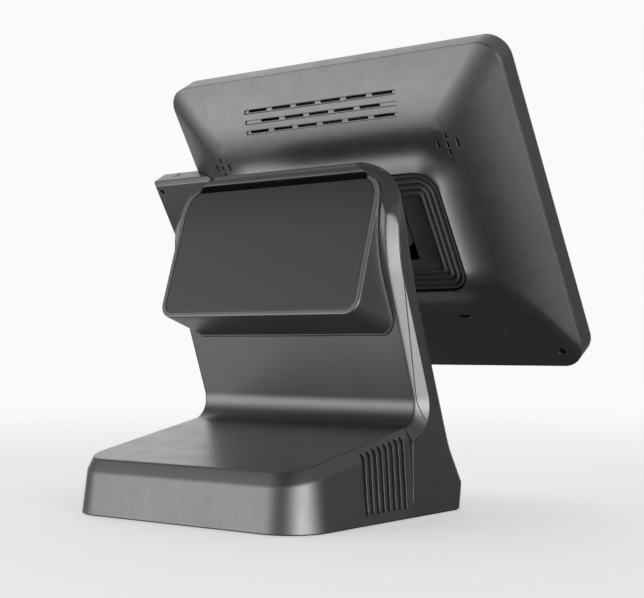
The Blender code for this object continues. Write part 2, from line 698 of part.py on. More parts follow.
def build_display_inside(pivot):
    chassis = box((-0.1600, -0.0078, -0.1240), (0.1600, -0.0063, 0.1240))
    for x0, x1 in ((-0.1600, -0.1585), (0.1585, 0.1600)):
        join(chassis, box((x0, -0.0078, -0.1240), (x1, -0.0010, 0.1240)))
    finish("display_chassis", placed(chassis), ((0.36, 0.36, 0.37), 0.45, 0.9), pivot)

    axis_y, axis_z = TILT_AXIS_Y, TILT_AXIS_Z
    bracket = box((-0.0800, -0.0060, axis_z - 0.0250), (0.0800, -0.0030, axis_z + 0.0250))
    ear_radius = 0.0090
    for x0, x1 in ((-0.0615, -0.0575), (0.0575, 0.0615)):
        ear = box((x0, -0.0050, axis_z - ear_radius), (x1, axis_y, axis_z + ear_radius))
        join(ear, rod((x0, axis_y, axis_z), (x1, axis_y, axis_z), ear_radius, 32))
        join(bracket, ear)
    cut(bracket, rod((-0.1, axis_y, axis_z), (0.1, axis_y, axis_z), 0.0053, 32))
    finish("hinge_bracket", placed(bracket), ((0.35, 0.35, 0.36), 0.4, 0.9), pivot)

    shaft = rod((-0.0700, axis_y, axis_z), (0.0700, axis_y, axis_z), 0.0050, 32)
    finish("hinge_shaft", placed(shaft), ((0.55, 0.55, 0.56), 0.25, 1.0), pivot)
    for name, x0, x1, segments in (
            ("hinge_washer_left", -0.0572, -0.0545, 32), ("hinge_washer_right", 0.0545, 0.0572, 32),
            ("hinge_nut_left", -0.0680, -0.0620, 6), ("hinge_nut_right", 0.0620, 0.0680, 6)):
        ring = rod((x0, axis_y, axis_z), (x1, axis_y, axis_z), 0.0085, segments)
        cut(ring, rod((x0 - 0.01, axis_y, axis_z), (x1 + 0.01, axis_y, axis_z), 0.0053, 32))
        finish(name, placed(ring), ((0.55, 0.50, 0.38), 0.35, 0.9), pivot)

    board = box((-0.0730, -0.0030, 0.0400), (0.0730, -0.0014, 0.1300))
    finish("mainboard", placed(board), ((0.03, 0.15, 0.08), 0.55, 0.0), pivot)
    sink = box((-0.0350, -0.0008, 0.0480), (0.0350, 0.0022, 0.1020))
    for i in range(9):
        x = -0.0340 + 0.0085 * i
        join(sink, box((x - 0.0009, 0.0012, 0.0480), (x + 0.0009, 0.0150, 0.1020)))
    finish("heatsink", placed(sink), ((0.60, 0.60, 0.62), 0.4, 1.0), pivot)
    drive = box((-0.1560, -0.0058, -0.0500), (-0.0860, 0.0010, 0.0500))
    finish("solid_state_drive", placed(drive), ((0.20, 0.20, 0.21), 0.4, 0.8), pivot)
    ports = box((-0.1000, -0.0058, -0.1220), (0.1000, 0.0000, -0.0850))
    finish("io_board", placed(ports), ((0.03, 0.15, 0.08), 0.55, 0.0), pivot)
    for side, name in ((-1, "speaker_left"), (1, "speaker_right")):
        x0, x1 = sorted((side * 0.1090, side * 0.1390))
        speaker = box((x0, -0.0040, 0.0640), (x1, 0.0110, 0.0920))
        finish(name, placed(speaker), ((0.03, 0.03, 0.03), 0.6, 0.0), pivot)


def build_card_reader(pivot):
    c = READER_CHAMFER
    levels = ((READER_FRONT_Y, 0.0016), (READER_FRONT_Y + 0.0016, 0.0), (READER_BACK_Y - c, 0.0),
              (READER_BACK_Y, c))
    rings = []
    for y, inset in levels:
        outline = rounded_rectangle(READER_INNER_X + inset, READER_OUTER_X - inset, READER_LOW_Z + inset,
                                    READER_TOP_Z - inset, 0.0020, 0.0020, 2)
        rings.append([Vector((x, y, z)) for x, z in outline])
    housing = loft(rings)
    cut(housing, crown_block(-0.0004))
    cut(housing, box((0.1000, -0.0500, -0.0700), (DISPLAY_HALF_WIDTH + 0.0004, 0.0010, 0.0900)))
    cut(housing, box((0.2040, -0.0400, -0.0700), (0.2058, 0.0085, 0.0900)))
    cut(housing, box((0.1850, 0.0010, -0.0380), (0.2020, 0.0150, 0.0100)))
    cut(housing, box((0.1950, 0.0040, -0.0240), (0.2050, 0.0080, -0.0080)))
    cut(housing, box((0.1800, 0.0020, -0.0300), (0.1900, 0.0080, 0.0000)))
    cut(housing, rod((0.2194, 0.0150, 0.0573), (0.2194, 0.0300, 0.0573), 0.0024, 16))
    finish("card_reader_housing", placed(housing), (PLASTIC_DARK, 0.42, 0.0), pivot)
    head = box((0.1970, 0.0045, -0.0235), (0.2037, 0.0075, -0.0085))
    finish("magnetic_head", placed(head), ((0.50, 0.50, 0.52), 0.3, 1.0), pivot)
    board = box((0.1860, 0.0015, -0.0370), (0.1876, 0.0145, 0.0090))
    finish("card_reader_board", placed(board), ((0.03, 0.15, 0.08), 0.55, 0.0), pivot)
    screw = rod((0.2194, 0.0153, 0.0573), (0.2194, 0.0168, 0.0573), 0.0021, 16)
    finish("card_reader_screw", placed(screw), ((0.25, 0.25, 0.26), 0.35, 0.9), pivot)


def axis_empty(name, parent, location, lean=0.0):
    pivot = bpy.data.objects.new(name, None)
    bpy.context.scene.collection.objects.link(pivot)
    pivot.parent = parent
    pivot.location = location
    pivot.rotation_euler = (lean, 0.0, 0.0)
    return pivot


def build_display():
    tilt_axis = neck_frame() @ Vector((0.0, TILT_AXIS_Y, TILT_AXIS_Z))
    pivot = axis_empty("tilt_axis", None, tilt_axis, -DISPLAY_TILT)
    door_place = (0.0, DOOR_AXIS_Y - TILT_AXIS_Y, DOOR_AXIS_Z - TILT_AXIS_Z)
    door_pivot = axis_empty("door_axis", pivot, door_place)
    button_place = (0.1400, -0.0090 - TILT_AXIS_Y, -0.1500 - TILT_AXIS_Z)
    button_pivot = axis_empty("button_travel", pivot, button_place)
    build_back_cover(pivot, door_pivot)
    build_boot(pivot)
    build_bezel(pivot, button_pivot)
    build_display_inside(pivot)
    build_card_reader(pivot)


clear_scene()
build_base()
build_column()
build_neck()
build_customer_display()
build_display()
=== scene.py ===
"""Looks of the countertop sales terminal: fine outer surfaces, materials, a pale studio floor and soft light.

The display's pieces are drawn upright in the display's own frame (x across, y out of its back, z up its
screen) and then leaned back into place; everything else is drawn in the terminal's frame, in metres.
"""

import math

import bmesh
import bpy
from mathutils import Matrix, Vector


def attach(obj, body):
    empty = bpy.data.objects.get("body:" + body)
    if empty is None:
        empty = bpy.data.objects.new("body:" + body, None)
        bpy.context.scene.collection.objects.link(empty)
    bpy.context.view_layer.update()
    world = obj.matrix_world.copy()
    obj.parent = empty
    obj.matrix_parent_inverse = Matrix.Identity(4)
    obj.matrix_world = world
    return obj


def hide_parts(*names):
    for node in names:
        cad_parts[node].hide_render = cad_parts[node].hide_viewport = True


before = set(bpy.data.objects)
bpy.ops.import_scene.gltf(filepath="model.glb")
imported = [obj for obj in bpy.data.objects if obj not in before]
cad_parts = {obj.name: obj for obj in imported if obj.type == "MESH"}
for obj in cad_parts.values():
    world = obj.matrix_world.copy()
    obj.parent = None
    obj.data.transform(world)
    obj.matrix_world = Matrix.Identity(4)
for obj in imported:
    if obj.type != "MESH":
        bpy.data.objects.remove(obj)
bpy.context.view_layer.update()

GAP = 0.0003  # between pieces that only meet
WALL = 0.0026  # of every moulding

# Base
BASE_HALF_WIDTH = 0.1230
BASE_CUSTOMER_Y = 0.1076
BASE_SLOPE = 0.1925
BASE_EDGE_Z = 0.0344
BASE_TOP_Z = 0.0453
BASE_DRAFT = 0.0041
BASE_CHAMFER_INSET = 0.0091
BASE_CORNER_RADIUS = 0.035
SEAM_Y = -0.0385  # where the base meets the column's operator half
SHELL_FOOT_Z = 0.0012  # the mouldings hang this far above the counter
VENT_COUNT = 8
VENT_FIRST_Y = -0.0276
VENT_PITCH = 0.0074
VENT_HALF_WIDTH = 0.0019
VENT_LOW_Z = 0.0085

# Column
COLUMN_HALF_WIDTH = 0.1220
COLUMN_FACE_HALF_WIDTH = 0.1139  # customer face, between the two chamfer strips
COLUMN_TOP_Z = 0.2868
COLUMN_TOP_CORNER = (0.052, 0.056)  # width and height of the rear outline's top corners
COLUMN_FACE_CORNER = (0.058, 0.060)  # the same for the customer face, which tapers in more
CHAMFER_AT_BASE = 0.0105
CHAMFER_ON_COLUMN = 0.0080

# Main display, in its own frame
DISPLAY_TILT = math.radians(31.23)
PARTING_CENTRE = Vector((0.0, -0.1493, 0.2499))
DISPLAY_HALF_WIDTH = 0.1800
DISPLAY_HALF_HEIGHT = 0.1528
BEZEL_DEPTH = 0.0223
DISPLAY_CORNER = 0.0215
CROWN_HEIGHT = 0.0244  # how far the back domes out past its edge step
CROWN_STEP = 0.0010
CROWN_RUN = 0.0670  # the dome rises over this distance from the top and the sides
LOWER_RUN = 0.0990  # and over this one from the lower edge, in a straight slope
TOUCH_HALF_WIDTH = 0.1697
TOUCH_HALF_HEIGHT = 0.1425
TOUCH_RADIUS = 0.0117
BOSS_TOP_Y = 0.0350
BOSS_REACH = 0.0240  # the swelling round the boot eases out over this distance
BOOT_HALF_WIDTH = 0.1090
BOOT_LOW_Z = -0.0550
BOOT_HIGH_Z = 0.0592
BOOT_RIBS = 4
BOOT_RIB_PITCH = 0.0055
TILT_AXIS_Y = 0.0140
TILT_AXIS_Z = 0.0020
COVER_SCREW_X = 0.1620
COVER_SCREW_Z = -0.1350
GRILLE_ROWS = ((0.1260, 6), (0.1172, 5), (0.1084, 6))  # height and number of slots
GRILLE_PITCH = 0.0276
SPEAKER_SLITS = ((0.1157, 0.0782, 0.0036), (0.1244, 0.0853, 0.0026), (0.1244, 0.0774, 0.0026),
                 (0.1244, 0.0703, 0.0026), (0.1330, 0.0777, 0.0041))  # x, z and half length
BUTTON_X = 0.1400

# Customer display, in its own frame
CUSTOMER_TILT = 0.3035
CUSTOMER_CENTRE = Vector((0.0, -0.0023, 0.2190))
CUSTOMER_HALF_WIDTH = 0.1062
CUSTOMER_HALF_HEIGHT = 0.0604
SEAT_DEPTH = 0.0042
GLASS_HALF_WIDTH = 0.1017
GLASS_LOW_Z = -0.0558
GLASS_TOP_Z = 0.0574
GLASS_CUT_Z = 0.0547  # the glass stops here, under the dark slot
GLASS_LOW_RADIUS = 0.0092
GLASS_TOP_RADIUS = 0.0197
SLOT_HALF_WIDTH = 0.0915
SLOT_LOW_Z = 0.0549
SLOT_TOP_Z = 0.0612

# Card reader, in the main display's frame
READER_INNER_X = 0.1500
READER_OUTER_X = 0.2295
READER_LOW_Z = -0.0450
READER_TOP_Z = 0.0680
READER_FRONT_Y = -0.0030
READER_BACK_Y = 0.0184
READER_CHAMFER = 0.0040
READER_SCREW_X = 0.2194
READER_SCREW_Z = 0.0573


# ---------------------------------------------------------------- shapes
def temporary(mesh):
    shape = bpy.data.objects.new("work", mesh)
    bpy.context.scene.collection.objects.link(shape)
    return shape


def boolean(shape, tool, operation):
    modifier = shape.modifiers.new("combine", "BOOLEAN")
    modifier.operation = operation
    modifier.solver = "MANIFOLD"
    modifier.object = tool
    graph = bpy.context.evaluated_depsgraph_get()
    graph.update()
    mesh = bpy.data.meshes.new_from_object(shape.evaluated_get(graph))
    shape.modifiers.clear()
    shape.data = mesh
    bpy.data.objects.remove(tool, do_unlink=True)
    return shape


def cut(shape, *tools):
    for tool in tools:
        boolean(shape, tool, "DIFFERENCE")
    return shape


def join(shape, *tools):
    for tool in tools:
        boolean(shape, tool, "UNION")
    return shape


def keep(shape, tool):
    return boolean(shape, tool, "INTERSECT")


def moved(shape, matrix):
    shape.data.transform(matrix)
    shape.data.update()
    return shape


def mesh_of(bm):
    bmesh.ops.recalc_face_normals(bm, faces=bm.faces)
    mesh = bpy.data.meshes.new("work")
    bm.to_mesh(mesh)
    bm.free()
    return mesh


def loft(rings, closed_path=False):
    bm = bmesh.new()
    verts = [[bm.verts.new(point) for point in ring] for ring in rings]
    spans = list(zip(verts, verts[1:]))
    if closed_path:
        spans.append((verts[-1], verts[0]))
    for low, high in spans:
        count = len(low)
        for i in range(count):
            j = (i + 1) % count
            bm.faces.new((low[i], low[j], high[j], high[i]))
    if not closed_path:
        bm.faces.new(verts[0][::-1])
        bm.faces.new(verts[-1])
    return temporary(mesh_of(bm))


def box(low, high):
    x0, y0, z0 = low
    x1, y1, z1 = high
    plan = ((x0, y0), (x1, y0), (x1, y1), (x0, y1))
    return loft([[Vector((x, y, z)) for x, y in plan] for z in (z0, z1)])


def rod(start, end, radius, segments=48):
    start, end = Vector(start), Vector(end)
    turn = (end - start).to_track_quat("Z", "Y").to_matrix()
    ring = []
    for i in range(segments):
        angle = 2 * math.pi * i / segments
        ring.append(turn @ Vector((radius * math.cos(angle), radius * math.sin(angle), 0.0)))
    return loft([[start + point for point in ring], [end + point for point in ring]])


def arc(centre, radius, start, end, steps):
    points = []
    for i in range(steps + 1):
        angle = math.radians(start + (end - start) * i / steps)
        points.append((centre[0] + radius * math.cos(angle), centre[1] + radius * math.sin(angle)))
    return points


def rounded_rectangle(left, right, low, high, low_radius, high_radius, steps=14):
    points = []
    points += arc((right - low_radius, low + low_radius), low_radius, -90, 0, steps)
    points += arc((right - high_radius, high - high_radius), high_radius, 0, 90, steps)
    points += arc((left + high_radius, high - high_radius), high_radius, 90, 180, steps)
    points += arc((left + low_radius, low + low_radius), low_radius, 180, 270, steps)
    return points


def slab(outline, y0, y1):
    return loft([[Vector((x, y, z)) for x, z in outline] for y in (y0, y1)])


def many(outlines, low, high, axis="y"):
    """Several separate prisms as one cutting tool, running along x or y."""
    bm = bmesh.new()
    for outline in outlines:
        rings = []
        for depth in (low, high):
            if axis == "y":
                rings.append([bm.verts.new((a, depth, b)) for a, b in outline])
            else:
                rings.append([bm.verts.new((depth, a, b)) for a, b in outline])
        count = len(outline)
        for i in range(count):
            j = (i + 1) % count
            bm.faces.new((rings[0][i], rings[0][j], rings[1][j], rings[1][i]))
        bm.faces.new(rings[0][::-1])
        bm.faces.new(rings[1])
    return temporary(mesh_of(bm))


def softened(levels, rounds, steps=6):
    """A path of ring settings with its inner corners rounded; the first two settings measure distance."""
    path = [levels[0]]
    for i in range(1, len(levels) - 1):
        here = levels[i]
        size = rounds[i - 1]
        if size == 0:
            path.append(here)
            continue
        ends = []
        for other in (levels[i - 1], levels[i + 1]):
            length = math.hypot(other[0] - here[0], other[1] - here[1])
            share = size / length
            ends.append([h + (o - h) * share for h, o in zip(here, other)])
        for k in range(steps + 1):
            t = k / steps
            path.append(tuple(a * (1 - t) ** 2 + 2 * h * t * (1 - t) + b * t * t
                              for a, h, b in zip(ends[0], here, ends[1])))
    path.append(levels[-1])
    return path


def bent_line(corners, steps=6):
    points = []
    for index, (y, z, radius) in enumerate(corners):
        here = Vector((y, z))
        if radius == 0:
            points.append(here)
            continue
        before = (Vector(corners[index - 1][:2]) - here).normalized()
        after = (Vector(corners[index + 1][:2]) - here).normalized()
        half = before.angle(after) / 2
        middle = here + (before + after).normalized() * (radius / math.sin(half))
        start = here + before * (radius / math.tan(half)) - middle
        sweep = start.angle_signed(here + after * (radius / math.tan(half)) - middle)
        for i in range(steps + 1):
            angle = -sweep * i / steps
            points.append(middle + Vector((start.x * math.cos(angle) - start.y * math.sin(angle),
                                           start.x * math.sin(angle) + start.y * math.cos(angle))))
    return points


def offset_line(points, depth):
    shifted = []
    for i, point in enumerate(points):
        before = points[max(i - 1, 0)]
        after = points[min(i + 1, len(points) - 1)]
        along = (after - before).normalized()
        amount = depth[i] if isinstance(depth, list) else depth
        shifted.append(point + Vector((-along.y, along.x)) * amount)
    return shifted


def between(value, low, high):
    """0 up to low, 1 from high, and in proportion between them."""
    return min(max((value - low) / (high - low), 0.0), 1.0)


def y_on(points, z):
    """Where a line that runs steadily in z crosses a height."""
    for low, high in zip(points, points[1:]):
        bottom, top = sorted((low, high), key=lambda p: p.y)
        if bottom.y <= z <= top.y and top.y > bottom.y:
            share = (z - bottom.y) / (top.y - bottom.y)
            return bottom.x + (top.x - bottom.x) * share
    return points[0].x if abs(z - points[0].y) < abs(z - points[-1].y) else points[-1].x


# ---------------------------------------------------------------- materials
class Look:
    """A small node graph round one Principled shader."""

    def __init__(self, name):
        self.material = bpy.data.materials.new(name)
        self.material.use_nodes = True
        self.tree = self.material.node_tree
        self.shader = self.tree.nodes["Principled BSDF"]
        self.place = self.add("ShaderNodeTexCoord").outputs["Object"]

    def add(self, kind, **settings):
        node = self.tree.nodes.new(kind)
        for key, value in settings.items():
            setattr(node, key, value)
        return node

    def link(self, source, target):
        self.tree.links.new(source, target)

    def noise(self, scale, detail=4.0, roughness=0.6, stretch=None):
        node = self.add("ShaderNodeTexNoise")
        node.inputs["Scale"].default_value = scale
        node.inputs["Detail"].default_value = detail
        node.inputs["Roughness"].default_value = roughness
        place = self.place
        if stretch:
            mapping = self.add("ShaderNodeMapping")
            mapping.inputs["Scale"].default_value = stretch
            self.link(place, mapping.inputs["Vector"])
            place = mapping.outputs["Vector"]
        self.link(place, node.inputs["Vector"])
        return node.outputs["Fac"]

    def ramp(self, source, low, high, start=0.3, end=0.7):
        node = self.add("ShaderNodeMapRange")
        node.inputs["From Min"].default_value = start
        node.inputs["From Max"].default_value = end
        node.inputs["To Min"].default_value = low
        node.inputs["To Max"].default_value = high
        self.link(source, node.inputs["Value"])
        return node.outputs["Result"]

    def tint(self, source, dark, light, start=0.3, end=0.7):
        node = self.add("ShaderNodeMix", data_type="RGBA")
        node.inputs[6].default_value = (*dark, 1.0)
        node.inputs[7].default_value = (*light, 1.0)
        self.link(self.ramp(source, 0.0, 1.0, start, end), node.inputs[0])
        return node.outputs[2]

    def bump(self, source, strength, distance, edge=0.0):
        node = self.add("ShaderNodeBump")
        node.inputs["Strength"].default_value = strength
        node.inputs["Distance"].default_value = distance
        self.link(source, node.inputs["Height"])
        if edge:
            bevel = self.add("ShaderNodeBevel", samples=6)
            bevel.inputs["Radius"].default_value = edge
            self.link(bevel.outputs["Normal"], node.inputs["Normal"])
        self.link(node.outputs["Normal"], self.shader.inputs["Normal"])


def moulded(name, value, roughness, metallic=0.0):
    """Satin moulded plastic: fine spark-eroded grain, uneven gloss, faint handling marks."""
    look = Look(name)
    patches = look.noise(9.0, 5.0, 0.55)
    light = [value * 1.06] * 2 + [value * 1.08]
    dark = [value * 0.94] * 2 + [value * 0.96]
    look.link(look.tint(patches, dark, light), look.shader.inputs["Base Color"])
    wear = look.noise(55.0, 6.0, 0.7)
    look.link(look.ramp(wear, roughness - 0.035, roughness + 0.035), look.shader.inputs["Roughness"])
    look.shader.inputs["Metallic"].default_value = metallic
    look.bump(look.noise(2600.0, 2.0, 0.5), 0.16, 0.00004, 0.0007)
    return look.material


def metal(name, colour, roughness, stretch=(1.0, 1.0, 14.0)):
    """Sheet or turned metal with a fine drawn grain."""
    look = Look(name)
    grain = look.noise(260.0, 4.0, 0.6, stretch)
    dark = [c * 0.86 for c in colour]
    look.link(look.tint(grain, dark, colour), look.shader.inputs["Base Color"])
    look.link(look.ramp(grain, roughness - 0.06, roughness + 0.08), look.shader.inputs["Roughness"])
    look.shader.inputs["Metallic"].default_value = 1.0
    look.bump(grain, 0.10, 0.00004, 0.0003)
    return look.material


def rubber(name, value, gleam=0.5):
    """Soft matt rubber, cloth or foam with a trace of dust."""
    look = Look(name)
    look.shader.inputs["Specular IOR Level"].default_value = gleam
    dust = look.noise(40.0, 6.0, 0.65)
    look.link(look.tint(dust, [value] * 3, [value * 1.5] * 3), look.shader.inputs["Base Color"])
    look.link(look.ramp(dust, 0.55, 0.72), look.shader.inputs["Roughness"])
    look.bump(look.noise(1800.0, 2.0), 0.2, 0.00005, 0.0004)
    return look.material


def circuit(name):
    """Green board with a net of lighter tracks."""
    look = Look(name)
    cells = look.add("ShaderNodeTexVoronoi", feature="DISTANCE_TO_EDGE", distance="MANHATTAN")
    cells.inputs["Scale"].default_value = 190.0
    look.link(look.place, cells.inputs["Vector"])
    tracks = cells.outputs["Distance"]
    look.link(look.tint(tracks, [0.05, 0.20, 0.10], [0.010, 0.075, 0.035], 0.02, 0.10),
              look.shader.inputs["Base Color"])
    look.link(look.ramp(tracks, 0.30, 0.50, 0.02, 0.10), look.shader.inputs["Roughness"])
    look.bump(tracks, 0.3, 0.0001)
    return look.material


def screen_glass(name, value, lift, roughness, half_width, half_height, centre, lean, top_shade=1.0):
    """Dark cover glass: the panel behind it is lighter than the printed border by a factor, lift, and both
    darken toward the top edge by top_shade, a painted shade standing in for the shadow under an overhang."""
    look = Look(name)
    mapping = look.add("ShaderNodeMapping", vector_type="TEXTURE")
    mapping.inputs["Location"].default_value = centre
    mapping.inputs["Rotation"].default_value = (lean, 0.0, 0.0)
    look.link(look.place, mapping.inputs["Vector"])
    parts = look.add("ShaderNodeSeparateXYZ")
    look.link(mapping.outputs["Vector"], parts.inputs["Vector"])
    inside = None
    for axis, half in (("X", half_width), ("Z", half_height)):
        size = look.add("ShaderNodeMath", operation="ABSOLUTE")
        look.link(parts.outputs[axis], size.inputs[0])
        near = look.ramp(size.outputs["Value"], 1.0, 0.0, half - 0.0003, half + 0.0003)
        if inside is None:
            inside = near
        else:
            both = look.add("ShaderNodeMath", operation="MULTIPLY")
            look.link(inside, both.inputs[0])
            look.link(near, both.inputs[1])
            inside = both.outputs["Value"]
    border = [value] * 3
    panel = [value * lift, value * lift, value * lift * 1.02]
    printed = look.tint(inside, border, panel, 0.0, 1.0)
    # painted shade: the glass's colour is multiplied darker toward its top edge by top_shade
    shade = look.add("ShaderNodeMixRGB", blend_type="MULTIPLY")
    shade.inputs["Fac"].default_value = 1.0
    look.link(printed, shade.inputs["Color1"])
    upper = look.ramp(parts.outputs["Z"], 1.0, top_shade, half_height * 0.3, half_height * 1.15)
    look.link(upper, shade.inputs["Color2"])
    look.link(shade.outputs["Color"], look.shader.inputs["Base Color"])
    smears = look.noise(14.0, 7.0, 0.6)
    look.link(look.ramp(smears, roughness, roughness + 0.05, 0.4, 0.75), look.shader.inputs["Roughness"])
    look.bump(look.noise(1500.0, 2.0), 0.03, 0.00002, 0.0004)
    return look.material


def finish(name, shape, body, node, material, smooth_angle=28.0):
    """Name a finished piece, give it its look, and let it stand for its CAD node."""
    finish_extra(name, shape, body, material, smooth_angle)
    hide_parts(node)
    return shape


def finish_extra(name, shape, body, material, smooth_angle=28.0):
    """A finished piece that stands for no CAD node of its own."""
    bm = bmesh.new()
    bm.from_mesh(shape.data)
    bmesh.ops.remove_doubles(bm, verts=bm.verts, dist=0.000002)
    bmesh.ops.dissolve_degenerate(bm, edges=bm.edges, dist=0.000002)
    bm.to_mesh(shape.data)
    bm.free()
    shape.name = name
    shape.data.name = name
    shape.data.materials.clear()
    shape.data.materials.append(material)
    for polygon in shape.data.polygons:
        polygon.material_index = 0
    shape.data.shade_smooth()
    shape.data.set_sharp_from_angle(angle=math.radians(smooth_angle))
    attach(shape, body)
    return shape


# ---------------------------------------------------------------- stand outlines
def customer_profile():
    seam_z = BASE_TOP_Z + BASE_SLOPE * (BASE_CUSTOMER_Y - BASE_CHAMFER_INSET - SEAM_Y)
    start_y = 0.010
    return bent_line([
        (start_y, seam_z - BASE_SLOPE * (start_y - SEAM_Y), 0),
        (-0.0590, seam_z - BASE_SLOPE * (-0.0590 - SEAM_Y), 0.0178),
        (-0.0071, 0.2182, 0.120),
        (-0.0228, COLUMN_TOP_Z, 0.0125),
        (-0.0600, COLUMN_TOP_Z, 0),
    ], steps=20)


def operator_profile():
    lean_foot = Vector((-0.1065, 0.0370))
    bend_z = 0.2140
    bend_y = lean_foot.x + 0.379 * (bend_z - lean_foot.y)
    return bent_line([
        (-0.1165, SHELL_FOOT_Z, 0),
        (-0.1198, 0.0225, 0.002),
        (lean_foot.x + 0.0060, lean_foot.y + 0.0158, 0.075),
        (bend_y, bend_z, 0.240),
        (bend_y, COLUMN_TOP_Z + 0.0004, 0.010),
        (bend_y + 0.030, COLUMN_TOP_Z + 0.0006, 0),
    ], steps=14)


def chamfer_depths(profile):
    change = CHAMFER_ON_COLUMN - CHAMFER_AT_BASE
    return [CHAMFER_AT_BASE + change * between(point.y, 0.072, 0.112) for point in profile]


def corner_inset(depth, size):
    """How far an elliptical corner has pulled in at this depth below its top."""
    width, height = size
    climb = min(max((height - depth) / height, 0.0), 1.0)
    return width * (1 - math.sqrt(1 - climb * climb))


def column_block(inset):
    """The column as a solid, all its faces moved in by an inset."""
    profile = offset_line(customer_profile(), inset) if inset else customer_profile()
    depths = chamfer_depths(profile)
    run = COLUMN_HALF_WIDTH - COLUMN_FACE_HALF_WIDTH
    face = COLUMN_FACE_HALF_WIDTH - inset * 0.6
    softness = 0.0008
    low_z = -0.02

    def side_ring(x):
        past = abs(x) - face
        share = (past + math.sqrt(past * past + softness * softness)) / 2 / run
        if past < -0.01:
            share = 0.0
        line = offset_line(profile, [depth * share for depth in depths])
        back = [Vector((x, -0.160, line[-1].y)), Vector((x, -0.160, low_z)), Vector((x, line[0].x, low_z))]
        return [Vector((x, point.x, point.y)) for point in line] + back

    halves = [face + step for step in (-0.020, -0.003, -0.0016, -0.0008, 0.0, 0.0008, 0.0016, 0.003)]
    halves.append(face + run * 1.19)
    block = loft([side_ring(-x) for x in reversed(halves)] + [side_ring(x) for x in halves])

    back_line = operator_profile()
    profile_above = [point for point in profile if point.y > 0.10]
    top = COLUMN_TOP_Z + 0.0006 - inset
    half = COLUMN_HALF_WIDTH - inset
    levels = [p.y for p in back_line if p.y < top - COLUMN_FACE_CORNER[1]]
    levels += [top - COLUMN_FACE_CORNER[1] * (1 - math.sin(math.radians(a))) for a in range(0, 91, 5)]
    kept = []
    for level in sorted(levels):
        if not kept or level - kept[-1] > 0.0005:
            kept.append(level)
    if inset:
        kept[0] = -0.010
    steps = 8
    rings = []
    for z in kept:
        width = half - corner_inset(top - z, COLUMN_TOP_CORNER)
        front_width = half - corner_inset(top - z, COLUMN_FACE_CORNER)
        front_width -= run * between(z, 0.215, 0.245)
        back = y_on(back_line, z + (inset if z > 0.24 else 0.0)) + inset
        fullness = between(z, 0.200, 0.250)
        tight = between(z, 0.250, 0.275)
        across = (0.012 + 0.016 * fullness) * (1 - tight) + 0.006 * tight
        deep = max((0.012 + 0.002 * fullness) * (1 - tight) + 0.003 * tight - 2 * inset, 0.0008)
        shoulder = back + deep
        front = max(y_on(profile_above, z) if z > 0.12 else 0.0, shoulder)
        straight = between(z, top - 0.055, top - 0.035)
        ring = [(front_width, 0.060)]
        for step in range(steps + 1):
            share = 1 - step / steps
            turn = math.radians(90 * share)
            u = (1 - math.cos(turn)) * (1 - straight) + share * straight
            v = math.sin(turn) * (1 - straight) + share * straight
            ring.append((width - (width - front_width) * u, shoulder + (front - shoulder) * v))
        ring += [(width - across + across * math.cos(a), shoulder - deep * math.sin(a))
                 for a in (math.radians(d) for d in range(9, 91, 9))]
        ring += [(-x, y) for x, y in reversed(ring)]
        rings.append([Vector((x, y, z)) for x, y in ring])
    return keep(block, loft(rings))


def base_block(inset):
    """The base as a solid, all its faces moved in by an inset."""
    if inset:
        path = [(inset, -0.010, 0.0), (BASE_DRAFT + inset, BASE_EDGE_Z, BASE_SLOPE),
                (BASE_CHAMFER_INSET + inset, BASE_TOP_Z - inset, BASE_SLOPE)]
    else:
        top_inset = BASE_CHAMFER_INSET + 0.004
        path = softened([
            (0.0, SHELL_FOOT_Z, 0.0),
            (BASE_DRAFT, BASE_EDGE_Z, BASE_SLOPE),
            (BASE_CHAMFER_INSET, BASE_TOP_Z, BASE_SLOPE),
            (top_inset, BASE_TOP_Z + BASE_SLOPE * (top_inset - BASE_CHAMFER_INSET), BASE_SLOPE),
        ], (0.0016, 0.0014))
    rings = []
    for step_in, z, slope in path:
        half = BASE_HALF_WIDTH - step_in
        customer = BASE_CUSTOMER_Y - step_in
        radius = BASE_CORNER_RADIUS - step_in
        plan = [(half, -0.060)]
        plan += arc((half - radius, customer - radius), radius, 0, 90, 24)
        plan += arc((-half + radius, customer - radius), radius, 90, 180, 24)
        plan += [(-half, -0.060)]
        rings.append([Vector((x, y, z + slope * (customer - y))) for x, y in plan])
    return loft(rings)


def face_block(inset):
    """Everything behind the customer-facing surface."""
    line = offset_line(customer_profile(), inset)
    outline = [(point.x, point.y) for point in line]
    outline += [(-0.160, outline[-1][1]), (-0.160, -0.020), (outline[0][0], -0.020)]
    return loft([[Vector((x, y, z)) for y, z in outline] for x in (-0.20, 0.20)])


def in_front_of_strip(extra):
    """Everything on the customer's side of the seam that runs along the chamfer strips."""
    profile = customer_profile()
    line = offset_line(profile, [depth + extra for depth in chamfer_depths(profile)])
    line = [point for point in line if point.x > -0.0595 or point.y > 0.2]
    outline = [(point.x, point.y) for point in line]
    outline += [(outline[-1][0], 0.32), (0.14, 0.32), (0.14, outline[0][1])]
    return loft([[Vector((x, y, z)) for y, z in outline] for x in (-0.14, 0.14)])


def display_frame():
    """The main display's own frame, centred on its parting plane."""
    return Matrix.Translation(PARTING_CENTRE) @ Matrix.Rotation(-DISPLAY_TILT, 4, "X")


def customer_frame():
    """The customer display's own frame, centred on its screen plane."""
    return Matrix.Translation(CUSTOMER_CENTRE) @ Matrix.Rotation(CUSTOMER_TILT, 4, "X")


